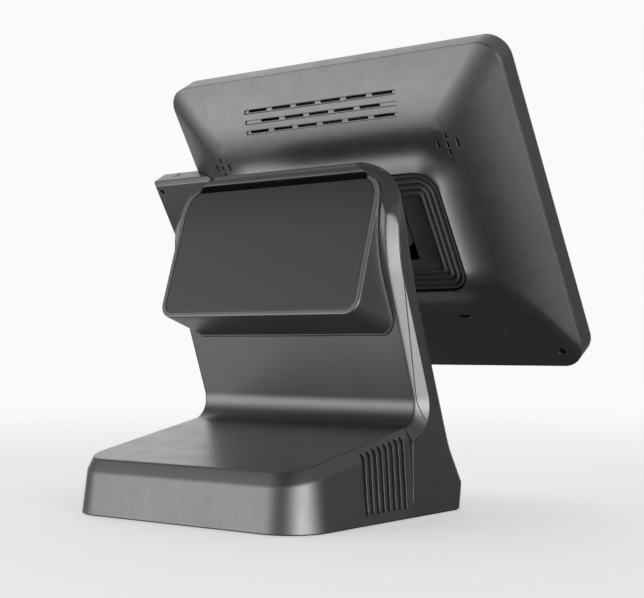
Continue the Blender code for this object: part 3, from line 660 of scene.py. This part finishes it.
# ---------------------------------------------------------------- stand
def build_base(plastic, vent_shade_look):
    cover = cut(base_block(0.0), base_block(WALL))
    cut(cover, box((-0.2, -0.2, -0.05), (0.2, SEAM_Y + GAP / 2, 0.2)))
    for side in (-1, 1):
        slots = []
        for i in range(VENT_COUNT):
            y = VENT_FIRST_Y + VENT_PITCH * i
            top = BASE_EDGE_Z + BASE_SLOPE * (BASE_CUSTOMER_Y - BASE_DRAFT - y) + 0.0052
            slots.append(rounded_rectangle(y - VENT_HALF_WIDTH, y + VENT_HALF_WIDTH, VENT_LOW_Z, top,
                                           0.0014, 0.0014, 5))
        x0, x1 = sorted((side * 0.106, side * 0.135))
        cut(cover, many(slots, x0, x1, "x"))
    finish("base_cover_fine", cover, "stand", "base_cover", plastic)
    # a dark rubber sheet behind each row of vents: painted shade that keeps the slots dark, standing in for
    # the shade inside the base
    for name, x0, x1 in (("vent_shade_sheet_left", -0.140, -0.106), ("vent_shade_sheet_right", 0.106, 0.140)):
        screen = cut(base_block(WALL + 0.0006), base_block(WALL + 0.0016))
        keep(screen, box((x0, -0.0330, 0.0105), (x1, 0.0290, 0.0662)))
        finish_extra(name, screen, "stand", vent_shade_look)


def wedge_prism(grow, depth, front=0.0):
    """The customer display's housing, running back from its screen plane by a depth."""
    path = [(front, 0.0), (-depth / 2, 0.0), (-depth, 0.0)]
    if front == 0.0 and grow == 0.0:
        path = softened([(0.0, -0.0030), (0.0, 0.0), (-0.0060, 0.0)], (0.0015,)) + path[1:]
    rings = []
    for y, edge in path:
        flare = grow + edge + 0.068 * max(-y, 0.0)
        rise = grow + edge
        outline = rounded_rectangle(-CUSTOMER_HALF_WIDTH - flare, CUSTOMER_HALF_WIDTH + flare,
                                    -CUSTOMER_HALF_HEIGHT - rise, CUSTOMER_HALF_HEIGHT + rise,
                                    0.0130 + rise, 0.0235 + rise)
        rings.append([Vector((x, y, z)) for x, z in outline])
    return loft(rings)


def glass_outline(grow):
    return rounded_rectangle(-GLASS_HALF_WIDTH - grow, GLASS_HALF_WIDTH + grow, GLASS_LOW_Z - grow,
                             GLASS_TOP_Z + grow, GLASS_LOW_RADIUS + grow, GLASS_TOP_RADIUS + grow)


def slot_outline(inset, low_radius):
    return rounded_rectangle(-SLOT_HALF_WIDTH + inset, SLOT_HALF_WIDTH - inset, SLOT_LOW_Z + inset,
                             SLOT_TOP_Z - inset, low_radius, 0.0055 - inset, 8)


def top_slot():
    """Dark gap between the column's brow and the top edge of the customer glass."""
    return slab(slot_outline(0.0, 0.0006), -0.0160, 0.0200)


def build_column(plastic):
    shell = cut(column_block(0.0), column_block(WALL))
    cut(shell, box((-0.2, SEAM_Y - GAP / 2, -0.05), (0.2, 0.2, 0.0785)))

    customer_half = temporary(shell.data.copy())
    keep(customer_half, in_front_of_strip(-GAP / 2))
    window = box((-0.0982, -0.0200, -0.0532), (0.0982, 0.0080, 0.0544))
    cut(customer_half, moved(window, customer_frame()), moved(top_slot(), customer_frame()))
    cut(customer_half, moved(wedge_prism(GAP, SEAT_DEPTH + GAP, 0.0200), customer_frame()))
    finish("column_customer_fine", customer_half, "stand", "column_customer_cover", plastic)

    cut(shell, in_front_of_strip(GAP / 2))
    slot = box((-0.0480, 0.0700, TILT_AXIS_Z - 0.0055), (0.0480, 0.1260, TILT_AXIS_Z + 0.0055))
    cut(shell, moved(slot, display_frame()))
    finish("column_operator_fine", shell, "stand", "column_operator_cover", plastic)


def build_neck(plastic):
    axis_y, axis_z = TILT_AXIS_Y, TILT_AXIS_Z
    outer = rounded_rectangle(-0.0640, 0.0640, axis_z - 0.0130, axis_z + 0.0130, 0.006, 0.006)
    inner = rounded_rectangle(-0.0616, 0.0616, axis_z - 0.0106, axis_z + 0.0106, 0.004, 0.004)
    neck = moved(cut(slab(outer, axis_y + 0.0110, 0.1300), slab(inner, 0.0, 0.1400)), display_frame())
    cut(neck, column_block(-0.0004))
    finish("neck_cover_fine", neck, "stand", "neck_cover", plastic)


def build_customer_display(plastic, glass_look, slot_shadow_look):
    lean = customer_frame()
    wedge = moved(wedge_prism(0.0, 0.0620), lean)
    cut(wedge, cut(face_block(-0.0004), moved(wedge_prism(0.0012, SEAT_DEPTH, 0.0200), lean)))
    lip = moved(wedge_prism(0.0011, 0.0620), lean)
    keep(lip, face_block(-0.0020))
    cut(lip, face_block(-0.0004))
    join(wedge, lip)
    cut(wedge, box((-0.2, -0.2, 0.0), (0.2, -0.0350, 0.4)))

    tray = box((-0.0975, -0.0105, -0.0525), (0.0975, -0.0010, 0.0537))
    join(wedge, moved(tray, lean))
    recess = slab(glass_outline(GAP), -0.0024, 0.0100)
    pocket = box((-0.0940, -0.0085, -0.0500), (0.0940, 0.0, 0.0490))
    cut(wedge, moved(recess, lean), moved(pocket, lean))
    cavity = moved(box((-0.0925, -0.0620, -0.0485), (0.0925, -0.0070, 0.0400)), lean)
    cut(wedge, cut(cavity, face_block(-0.0030)))
    cut(wedge, moved(top_slot(), lean))
    finish("customer_housing_fine", wedge, "stand", "customer_housing", plastic)

    path = softened([(-0.0021, 0.0), (-0.0005, 0.0), (-0.0005, 0.0010)], (0.0003,), 3)
    rings = []
    for y, inset in path:
        rings.append([Vector((x, y, z)) for x, z in glass_outline(-inset)])
    glass = cut(loft(rings), box((-0.2, -0.01, GLASS_CUT_Z), (0.2, 0.01, 0.1)))
    finish("customer_glass_fine", moved(glass, lean), "stand", "customer_glass", glass_look)

    # a near-black strip at the back of the dark slot above the glass: painted shadow, standing in for the
    # shade under the column's brow
    slot_shadow = moved(slab(slot_outline(GAP, 0.0004), -0.0090, -0.0034), lean)
    finish_extra("customer_display_slot_shadow", slot_shadow, "stand", slot_shadow_look)


# ---------------------------------------------------------------- main display
def crown_outline(rise, inset):
    """Outline of the domed back at a height above the parting plane, moved in by an inset."""
    share = between(rise, CROWN_STEP, CROWN_STEP + CROWN_HEIGHT)
    side = CROWN_RUN * math.asin(share) / (math.pi / 2)
    lower = LOWER_RUN * share
    radius = DISPLAY_CORNER - 0.008 * share
    half = DISPLAY_HALF_WIDTH - side - inset
    return rounded_rectangle(-half, half, -DISPLAY_HALF_HEIGHT + lower + inset,
                             DISPLAY_HALF_HEIGHT - side - inset, radius - inset, radius - inset)


def with_points_between(outline, arc_points, between):
    """The same outline with extra points along each of its four straight sides."""
    denser = []
    for start in range(0, len(outline), arc_points):
        denser += outline[start:start + arc_points]
        here = Vector(outline[start + arc_points - 1])
        there = Vector(outline[(start + arc_points) % len(outline)])
        denser += [tuple(here.lerp(there, i / (between + 1))) for i in range(1, between + 1)]
    return denser


def boss_lift(x, z):
    """Height of the swelling that carries the boot: full inside the boot's outline, easing out round it."""
    radius = 0.0195
    middle = (BOOT_LOW_Z + BOOT_HIGH_Z) / 2
    over_x = max(abs(x) - BOOT_HALF_WIDTH + radius, 0.0)
    over_z = max(abs(z - middle) - (BOOT_HIGH_Z - BOOT_LOW_Z) / 2 + radius, 0.0)
    away = max(math.hypot(over_x, over_z) - radius - 0.0008, 0.0) / BOSS_REACH
    if away >= 1.0:
        return 0.0
    full = BOSS_TOP_Y - min(crown_height(x, z), CROWN_STEP + CROWN_HEIGHT)
    return full * (1 - away) ** 2.2


def crown_height(x, z):
    """Height of the domed back, ignoring its rounded corners."""
    side = min(DISPLAY_HALF_WIDTH - abs(x), DISPLAY_HALF_HEIGHT - z, CROWN_RUN) / CROWN_RUN
    lower = min((z + DISPLAY_HALF_HEIGHT) / LOWER_RUN, 1.0)
    return CROWN_STEP + CROWN_HEIGHT * min(math.sin(math.pi / 2 * side), lower)


def crown_block(inset, boss=False):
    """The domed back as a solid, moved in by an inset, with or without the swelling round the boot."""
    start = 0.0 if not inset else -0.0100
    count = 22
    last = 18 if boss else count
    rises = [0.0] + [CROWN_STEP + CROWN_HEIGHT * math.sin(math.pi / 2 * i / count) for i in range(last + 1)]
    rings = []
    for i, rise in enumerate(rises):
        y = start if i == 0 else rise - inset
        outline = crown_outline(rise, inset)
        if boss:
            outline = with_points_between(outline, 15, 30)
        lifts = [boss_lift(x, z) if boss and i else 0.0 for x, z in outline]
        rings.append([Vector((x, y + lift, z)) for (x, z), lift in zip(outline, lifts)])
    if boss:
        outer = [(point.x, point.z) for point in rings[-1]]
        rim = with_points_between(boot_outline(-0.0008), 15, 30)
        for i in range(1, 19):
            ring = []
            for (x0, z0), (x1, z1) in zip(outer, rim):
                x, z = x0 + (x1 - x0) * i / 18, z0 + (z1 - z0) * i / 18
                ring.append(Vector((x, crown_height(x, z) + boss_lift(x, z) - inset, z)))
            rings.append(ring)
        for step_in in (0.0004, 0.0050):
            rings.append([Vector((x, BOSS_TOP_Y - inset, z))
                          for x, z in with_points_between(boot_outline(step_in), 15, 30)])
    return loft(rings)


def boot_outline(step_in):
    low_radius = max(0.0170 - step_in, 0.0030)
    high_radius = max(0.0220 - step_in, 0.0040)
    return rounded_rectangle(-BOOT_HALF_WIDTH + step_in, BOOT_HALF_WIDTH - step_in,
                             BOOT_LOW_Z + step_in, BOOT_HIGH_Z - step_in, low_radius, high_radius)


def build_boot(look):
    """Ribbed rubber boot: four crests stepping inward, then a flat skin round the neck."""
    thickness = 0.0014
    crest = BOSS_TOP_Y - 0.0006
    depth = 0.0036
    reach = BOOT_RIB_PITCH * BOOT_RIBS
    inward = []
    samples = 9
    for i in range(BOOT_RIBS * samples + 1):
        step_in = GAP + (reach - GAP) * i / (BOOT_RIBS * samples)
        wave = abs(math.cos(math.pi * i / samples + math.pi / 2)) ** 1.7
        inward.append((step_in, crest - depth * (1 - wave)))
    back_side = [(step_in, y - thickness * 1.3) for step_in, y in reversed(inward)]
    around_neck = rounded_rectangle(-0.0652, 0.0652, TILT_AXIS_Z - 0.0270, TILT_AXIS_Z + 0.0270, 0.004, 0.004)
    floor_y = crest - depth
    rings = [[Vector((x, y, z)) for x, z in boot_outline(step_in)] for step_in, y in inward]
    rings += [[Vector((x, y, z)) for x, z in around_neck] for y in (floor_y, floor_y - thickness)]
    rings += [[Vector((x, y, z)) for x, z in boot_outline(step_in)] for step_in, y in back_side]
    shape = moved(loft(rings, closed_path=True), display_frame())
    finish("hinge_boot_fine", shape, "display", "hinge_boot", look, 50.0)


def door_cutter(grow):
    return box((-0.1150 - grow, -0.0050, -0.1480 - grow), (0.1150 + grow, 0.0400, -0.0900 + grow))


def build_back_cover(plastic, screw_look):
    solid = crown_block(0.0, boss=True)
    grooves = []
    slots = []
    for z, count in GRILLE_ROWS:
        grooves.append(rounded_rectangle(-0.0841, 0.0841, z - 0.00175, z + 0.00175, 0.0016, 0.0016, 6))
        for i in range(count):
            x = (i - (count - 1) / 2) * GRILLE_PITCH
            slots.append(rounded_rectangle(x - 0.0107, x + 0.0107, z - 0.0010, z + 0.0010, 0.0009, 0.0009, 5))
    groove_tool = cut(many(grooves, 0.0, 0.0400), crown_block(0.0011))
    cut(solid, groove_tool)
    shell = cut(solid, crown_block(WALL, boss=True))
    cut(shell, slab(boot_outline(0.0), 0.0, 0.0600))
    cut(shell, many(slots, 0.0, 0.0400))
    slits = []
    for side in (-1, 1):
        for x, z, half in SPEAKER_SLITS:
            slits.append(rounded_rectangle(side * x - 0.0010, side * x + 0.0010, z - half, z + half,
                                           0.0007, 0.0007, 5))
    cut(shell, many(slits, 0.0, 0.0400))
    for x in (-COVER_SCREW_X, COVER_SCREW_X):
        cut(shell, rod((x, -0.001, COVER_SCREW_Z), (x, 0.030, COVER_SCREW_Z), 0.0033))

    door = temporary(shell.data.copy())
    keep(door, door_cutter(0.0))
    for side in (-1, 1):
        cut(door, rod((side * 0.0810, -0.01, -0.0810), (side * 0.0810, 0.04, -0.0810), 0.0125, 64))
    cut(shell, door_cutter(GAP))
    finish("io_door_fine", moved(door, display_frame()), "io_door", "io_door", plastic)
    finish("back_cover_fine", moved(shell, display_frame()), "display", "back_cover", plastic)
    for node, x in (("cover_screw_left", -COVER_SCREW_X), ("cover_screw_right", COVER_SCREW_X)):
        screw = rod((x, -0.0060, COVER_SCREW_Z), (x, 0.0010, COVER_SCREW_Z), 0.0028, 32)
        for angle in (35, 125):
            blade = box((-0.0016, 0.0, -0.00035), (0.0016, 0.0020, 0.00035))
            turn = Matrix.Translation((x, 0.0, COVER_SCREW_Z)) @ Matrix.Rotation(math.radians(angle), 4, "Y")
            cut(screw, moved(blade, turn))
        finish(node + "_fine", moved(screw, display_frame()), "display", node, screw_look)


def touch_outline(grow):
    return rounded_rectangle(-TOUCH_HALF_WIDTH - grow, TOUCH_HALF_WIDTH + grow, -TOUCH_HALF_HEIGHT - grow,
                             TOUCH_HALF_HEIGHT + grow, TOUCH_RADIUS + grow, TOUCH_RADIUS + grow)


def build_bezel(plastic, glass_look, button_look):
    front = -BEZEL_DEPTH
    half, high, radius = DISPLAY_HALF_WIDTH, DISPLAY_HALF_HEIGHT, DISPLAY_CORNER
    path = softened([(front, 0.0060), (front, 0.0), (-0.0100, 0.0)], (0.0032,), 8)
    path += [(-0.0012, 0.0), (-0.0010, 0.0002), (-0.0010, 0.0011), (-GAP, 0.0011)]
    rings = []
    for y, inset in path:
        outline = rounded_rectangle(-half + inset, half - inset, -high + inset, high - inset,
                                    radius - inset, radius - inset, 18)
        rings.append([Vector((x, y, z)) for x, z in outline])
    bezel = loft(rings)
    hollow = slab(rounded_rectangle(-half + WALL, half - WALL, -high + WALL, high - WALL,
                                    radius - WALL, radius - WALL, 18), front + 0.0040, 0.0100)
    cut(bezel, hollow, slab(touch_outline(GAP), -0.05, 0.0))
    button_hole = rounded_rectangle(BUTTON_X - 0.0070, BUTTON_X + 0.0070, -0.1600, -0.1400, 0.001, 0.001, 2)
    cut(bezel, slab(button_hole, -0.0125, -0.0055))
    finish("front_bezel_fine", moved(bezel, display_frame()), "display", "front_bezel", plastic)

    rings = []
    path = [(front + 0.0033, 0.0), (front + GAP, 0.0), (front + GAP, 0.0010)]
    for y, inset in softened(path, (0.0004,), 3):
        rings.append([Vector((x, y, z)) for x, z in touch_outline(-inset)])
    finish("touch_glass_fine", moved(loft(rings), display_frame()), "display", "touch_glass", glass_look)

    rings = []
    for z, inset in softened([(-0.1445, 0.0), (-0.1538, 0.0), (-0.1538, 0.0010)], (0.0005,), 4):
        outline = rounded_rectangle(BUTTON_X - 0.0067 + inset, BUTTON_X + 0.0067 - inset, -0.0122 + inset,
                                    -0.0058 - inset, 0.0008, 0.0008, 5)
        rings.append([Vector((x, y, z)) for x, y in outline])
    button = moved(loft(rings), display_frame())
    finish("power_button_fine", button, "power_button", "power_button", button_look)


def build_card_reader(plastic, screw_look):
    chamfer = READER_CHAMFER
    path = softened([
        (READER_FRONT_Y, 0.0040),
        (READER_FRONT_Y, 0.0),
        (READER_BACK_Y - chamfer, 0.0),
        (READER_BACK_Y, chamfer),
        (READER_BACK_Y, chamfer + 0.0030),
    ], (0.0018, 0.0006, 0.0006))
    rings = []
    for y, inset in path:
        outline = rounded_rectangle(READER_INNER_X + inset, READER_OUTER_X - inset, READER_LOW_Z + inset,
                                    READER_TOP_Z - inset, 0.0020, 0.0020, 5)
        rings.append([Vector((x, y, z)) for x, z in outline])
    housing = loft(rings)
    cut(housing, crown_block(-0.0004))
    display_edge = box((0.1000, -0.0500, -0.0700), (DISPLAY_HALF_WIDTH + 0.0004, 0.0010, 0.0900))
    swipe_slot = box((0.2040, -0.0400, -0.0700), (0.2058, 0.0085, 0.0900))
    board_room = box((0.1850, 0.0010, -0.0380), (0.2020, 0.0150, 0.0100))
    head_room = box((0.1950, 0.0040, -0.0240), (0.2050, 0.0080, -0.0080))
    cable_way = box((0.1800, 0.0020, -0.0300), (0.1900, 0.0080, 0.0000))
    cut(housing, display_edge, swipe_slot, board_room, head_room, cable_way)
    x, z = READER_SCREW_X, READER_SCREW_Z
    cut(housing, rod((x, 0.0150, z), (x, 0.0300, z), 0.0024, 32))
    finish("card_reader_fine", moved(housing, display_frame()), "display", "card_reader_housing", plastic)
    screw = rod((x, 0.0153, z), (x, 0.0168, z), 0.0021, 32)
    for angle in (20, 110):
        blade = box((-0.0013, 0.0162, -0.0003), (0.0013, 0.0180, 0.0003))
        turn = Matrix.Translation((x, 0.0, z)) @ Matrix.Rotation(math.radians(angle), 4, "Y")
        cut(screw, moved(blade, turn))
    screw = moved(screw, display_frame())
    finish("card_reader_screw_fine", screw, "display", "card_reader_screw", screw_look)


# ---------------------------------------------------------------- the object
satin = moulded("satin_plastic", 0.13, 0.36, metallic=0.88)
panel_satin = moulded("back_plastic", 0.13, 0.34, metallic=0.88)
button_plastic = moulded("button_plastic", 0.03, 0.35)
soft_black = rubber("boot_rubber", 0.022)
# near black with almost no gloss: painted shadow for the back of the slot above the customer glass
slot_shadow_black = rubber("slot_shadow_black", 0.002, 0.03)
foot_rubber = rubber("foot_rubber", 0.015)
speaker_cloth = rubber("speaker_cloth", 0.02)
steel = metal("satin_steel", (0.42, 0.42, 0.43), 0.34)
bright_steel = metal("bright_steel", (0.62, 0.62, 0.63), 0.22)
brass = metal("brass", (0.60, 0.46, 0.20), 0.28)
black_zinc = metal("black_zinc", (0.045, 0.045, 0.047), 0.38)
board_green = circuit("circuit_board")
# the last value, 0.30, is painted shade: the glass darkens toward its top edge, under the column's brow
customer_glass_look = screen_glass("customer_glass_look", 0.025, 1.02, 0.24, 0.088, 0.0495,
                                   CUSTOMER_CENTRE, CUSTOMER_TILT, 0.30)
touch_glass_look = screen_glass("touch_glass_look", 0.012, 1.9, 0.06, 0.1520, 0.1140,
                                PARTING_CENTRE, -DISPLAY_TILT)

build_base(satin, soft_black)
build_column(satin)
build_neck(satin)
build_customer_display(satin, customer_glass_look, slot_shadow_black)
build_boot(soft_black)
build_back_cover(panel_satin, black_zinc)
build_bezel(satin, touch_glass_look, button_plastic)
build_card_reader(satin, black_zinc)

kept_looks = {
    "base_plate": steel, "column_spine": black_zinc, "hinge_arm": black_zinc, "hinge_bracket": black_zinc,
    "display_chassis": black_zinc, "power_supply": steel, "hinge_shaft": bright_steel,
    "hinge_nut_left": black_zinc, "hinge_nut_right": black_zinc, "magnetic_head": bright_steel,
    "heatsink": bright_steel, "solid_state_drive": steel, "lcd_panel": steel, "customer_lcd": steel,
    "hinge_washer_left": brass, "hinge_washer_right": brass,
    "mainboard": board_green, "io_board": board_green, "customer_driver_board": board_green,
    "card_reader_board": board_green, "speaker_left": speaker_cloth, "speaker_right": speaker_cloth,
    "foot_operator_left": foot_rubber, "foot_operator_right": foot_rubber,
    "foot_customer_left": foot_rubber, "foot_customer_right": foot_rubber, "foot_middle": foot_rubber,
}
for node, look in kept_looks.items():
    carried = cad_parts[node]
    carried.data.materials.clear()
    carried.data.materials.append(look)


# ---------------------------------------------------------------- floor, light, camera
# Soft boxes round the object: strength, azimuth and elevation of the middle, half-widths (degrees).
# Azimuth 0 is the operator's side, 90 the card reader's side, 180 the customer's side.
SOFT_BOXES = (
    (1.65, 44.0, 19.0, 33.0, 45.0),
    (3.45, 141.0, 0.0, 26.0, 26.0),
    (7.20, 246.0, -5.0, 27.5, 24.0),
    (3.20, 248.0, -41.0, 11.0, 9.0),
    (0.38, 328.0, 35.0, 36.0, 32.0),
)
BACKDROP = 0.955
FLOOR_GLOW = 0.415
FLOOR_FADE_START = 0.45
FLOOR_FADE_END = 1.90
CAMERA_AZIMUTH = math.radians(217.5541)
CAMERA_ELEVATION = math.radians(-1.967)
CAMERA_TARGET = Vector((-0.0604, 0.0, 0.1744))
CAMERA_DISTANCE = 1.0775
CAMERA_LENS = 75.03


def studio_world():
    """White backdrop for the camera; everything else sees the soft boxes in a dark room."""
    world = bpy.data.worlds.new("studio")
    world.use_nodes = True
    tree = world.node_tree

    def math_node(operation, *values):
        node = tree.nodes.new("ShaderNodeMath")
        node.operation = operation
        for socket, value in zip(node.inputs, values):
            if isinstance(value, float):
                socket.default_value = value
            else:
                tree.links.new(value, socket)
        return node.outputs["Value"]

    def share(angle, centre, half_width):
        away = math_node("SUBTRACT", angle, math.radians(centre))
        return math_node("WRAP", away, math.pi, -math.pi), math.radians(half_width)

    direction = tree.nodes.new("ShaderNodeTexCoord").outputs["Generated"]
    parts = tree.nodes.new("ShaderNodeSeparateXYZ")
    tree.links.new(direction, parts.inputs["Vector"])
    toward_operator = math_node("MULTIPLY", parts.outputs["Y"], -1.0)
    azimuth = math_node("ARCTAN2", parts.outputs["X"], toward_operator)
    elevation = math_node("ARCSINE", parts.outputs["Z"])
    level = math_node("COSINE", elevation)
    total = None
    for strength, box_azimuth, box_elevation, wide, high in SOFT_BOXES:
        sideways, half_width = share(azimuth, box_azimuth, wide)
        upward, half_height = share(elevation, box_elevation, high)
        across = math_node("DIVIDE", math_node("MULTIPLY", sideways, level), half_width)
        along = math_node("DIVIDE", upward, half_height)
        spread = math_node("ADD", math_node("MULTIPLY", across, across), math_node("MULTIPLY", along, along))
        glow = math_node("EXPONENT", math_node("MULTIPLY", spread, -1.0))
        glow = math_node("MULTIPLY", glow, strength)
        total = glow if total is None else math_node("ADD", total, glow)
    camera_ray = tree.nodes.new("ShaderNodeLightPath").outputs["Is Camera Ray"]
    seen = tree.nodes.new("ShaderNodeMix")
    tree.links.new(camera_ray, seen.inputs["Factor"])
    tree.links.new(total, seen.inputs["A"])
    seen.inputs["B"].default_value = BACKDROP
    backdrop = tree.nodes["Background"]
    backdrop.inputs["Color"].default_value = (1.0, 1.0, 1.0, 1.0)
    tree.links.new(seen.outputs["Result"], backdrop.inputs["Strength"])
    bpy.context.scene.world = world


def build_floor():
    """A pale floor that takes the shadow and fades into the white backdrop."""
    bm = bmesh.new()
    middle = bm.verts.new((0.0, 0.0, 0.0))
    rings = []
    for radius in (0.2, 0.5, 1.0, 1.6, 2.2):
        ring = []
        for i in range(64):
            angle = 2 * math.pi * i / 64
            ring.append(bm.verts.new((radius * math.cos(angle), radius * math.sin(angle), 0.0)))
        rings.append(ring)
    for i in range(64):
        j = (i + 1) % 64
        bm.faces.new((middle, rings[0][i], rings[0][j]))
        for inner, outer in zip(rings, rings[1:]):
            bm.faces.new((inner[i], outer[i], outer[j], inner[j]))
    floor = temporary(mesh_of(bm))
    floor.name = "studio_floor"
    look = Look("studio_floor_look")
    tone = look.noise(1.5, 3.0)
    look.link(look.tint(tone, [0.80] * 3, [0.82] * 3), look.shader.inputs["Base Color"])
    look.shader.inputs["Roughness"].default_value = 0.9
    look.shader.inputs["Specular IOR Level"].default_value = 0.0
    look.shader.inputs["Emission Color"].default_value = (1.0, 1.0, 1.0, 1.0)
    look.shader.inputs["Emission Strength"].default_value = FLOOR_GLOW
    reach = look.add("ShaderNodeVectorMath", operation="LENGTH")
    look.link(look.place, reach.inputs[0])
    fade = look.add("ShaderNodeMapRange", interpolation_type="SMOOTHSTEP")
    fade.inputs["From Min"].default_value = FLOOR_FADE_START
    fade.inputs["From Max"].default_value = FLOOR_FADE_END
    look.link(reach.outputs["Value"], fade.inputs["Value"])
    clear = look.add("ShaderNodeBsdfTransparent")
    mixed = look.add("ShaderNodeMixShader")
    look.link(fade.outputs["Result"], mixed.inputs["Fac"])
    look.link(look.shader.outputs["BSDF"], mixed.inputs[1])
    look.link(clear.outputs["BSDF"], mixed.inputs[2])
    look.link(mixed.outputs["Shader"], look.tree.nodes["Material Output"].inputs["Surface"])
    floor.data.materials.append(look.material)
    floor.visible_diffuse = False
    floor.visible_glossy = False
    floor.visible_transmission = False
    floor.visible_shadow = False


def build_shadow_card():
    """A dark card under the base, so no light comes up through its open foot; its near-black edge also shows
    as a thin dark line under the base, a painted contact shadow.
    """
    bm = bmesh.new()
    outline = rounded_rectangle(-0.1215, 0.1215, -0.1130, 0.1060, 0.010, 0.033, 8)
    bm.faces.new([bm.verts.new((x, y, 0.0004)) for x, y in outline])
    card = temporary(mesh_of(bm))
    card.name = "studio_shadow_card"
    look = Look("studio_card_look")
    felt = look.noise(400.0, 3.0)
    # near black: where the card's edge shows under the base it is a painted contact shadow
    look.link(look.tint(felt, [0.004] * 3, [0.007] * 3), look.shader.inputs["Base Color"])
    look.shader.inputs["Roughness"].default_value = 0.95
    look.shader.inputs["Specular IOR Level"].default_value = 0.1
    card.data.materials.append(look.material)


studio_world()
build_floor()
build_shadow_card()
bpy.context.scene.view_settings.view_transform = "Standard"

camera_data = bpy.data.cameras.new("camera")
camera_data.lens = CAMERA_LENS
camera_data.sensor_width = 36.0
camera = bpy.data.objects.new("camera", camera_data)
bpy.context.scene.collection.objects.link(camera)
level = math.cos(CAMERA_ELEVATION)
sideways, away = math.sin(CAMERA_AZIMUTH) * level, -math.cos(CAMERA_AZIMUTH) * level
back = Vector((sideways, away, math.sin(CAMERA_ELEVATION)))
camera.location = CAMERA_TARGET + back * CAMERA_DISTANCE
camera.rotation_mode = "QUATERNION"
camera.rotation_quaternion = (-back).to_track_quat("-Z", "Y")
bpy.context.scene.camera = camera
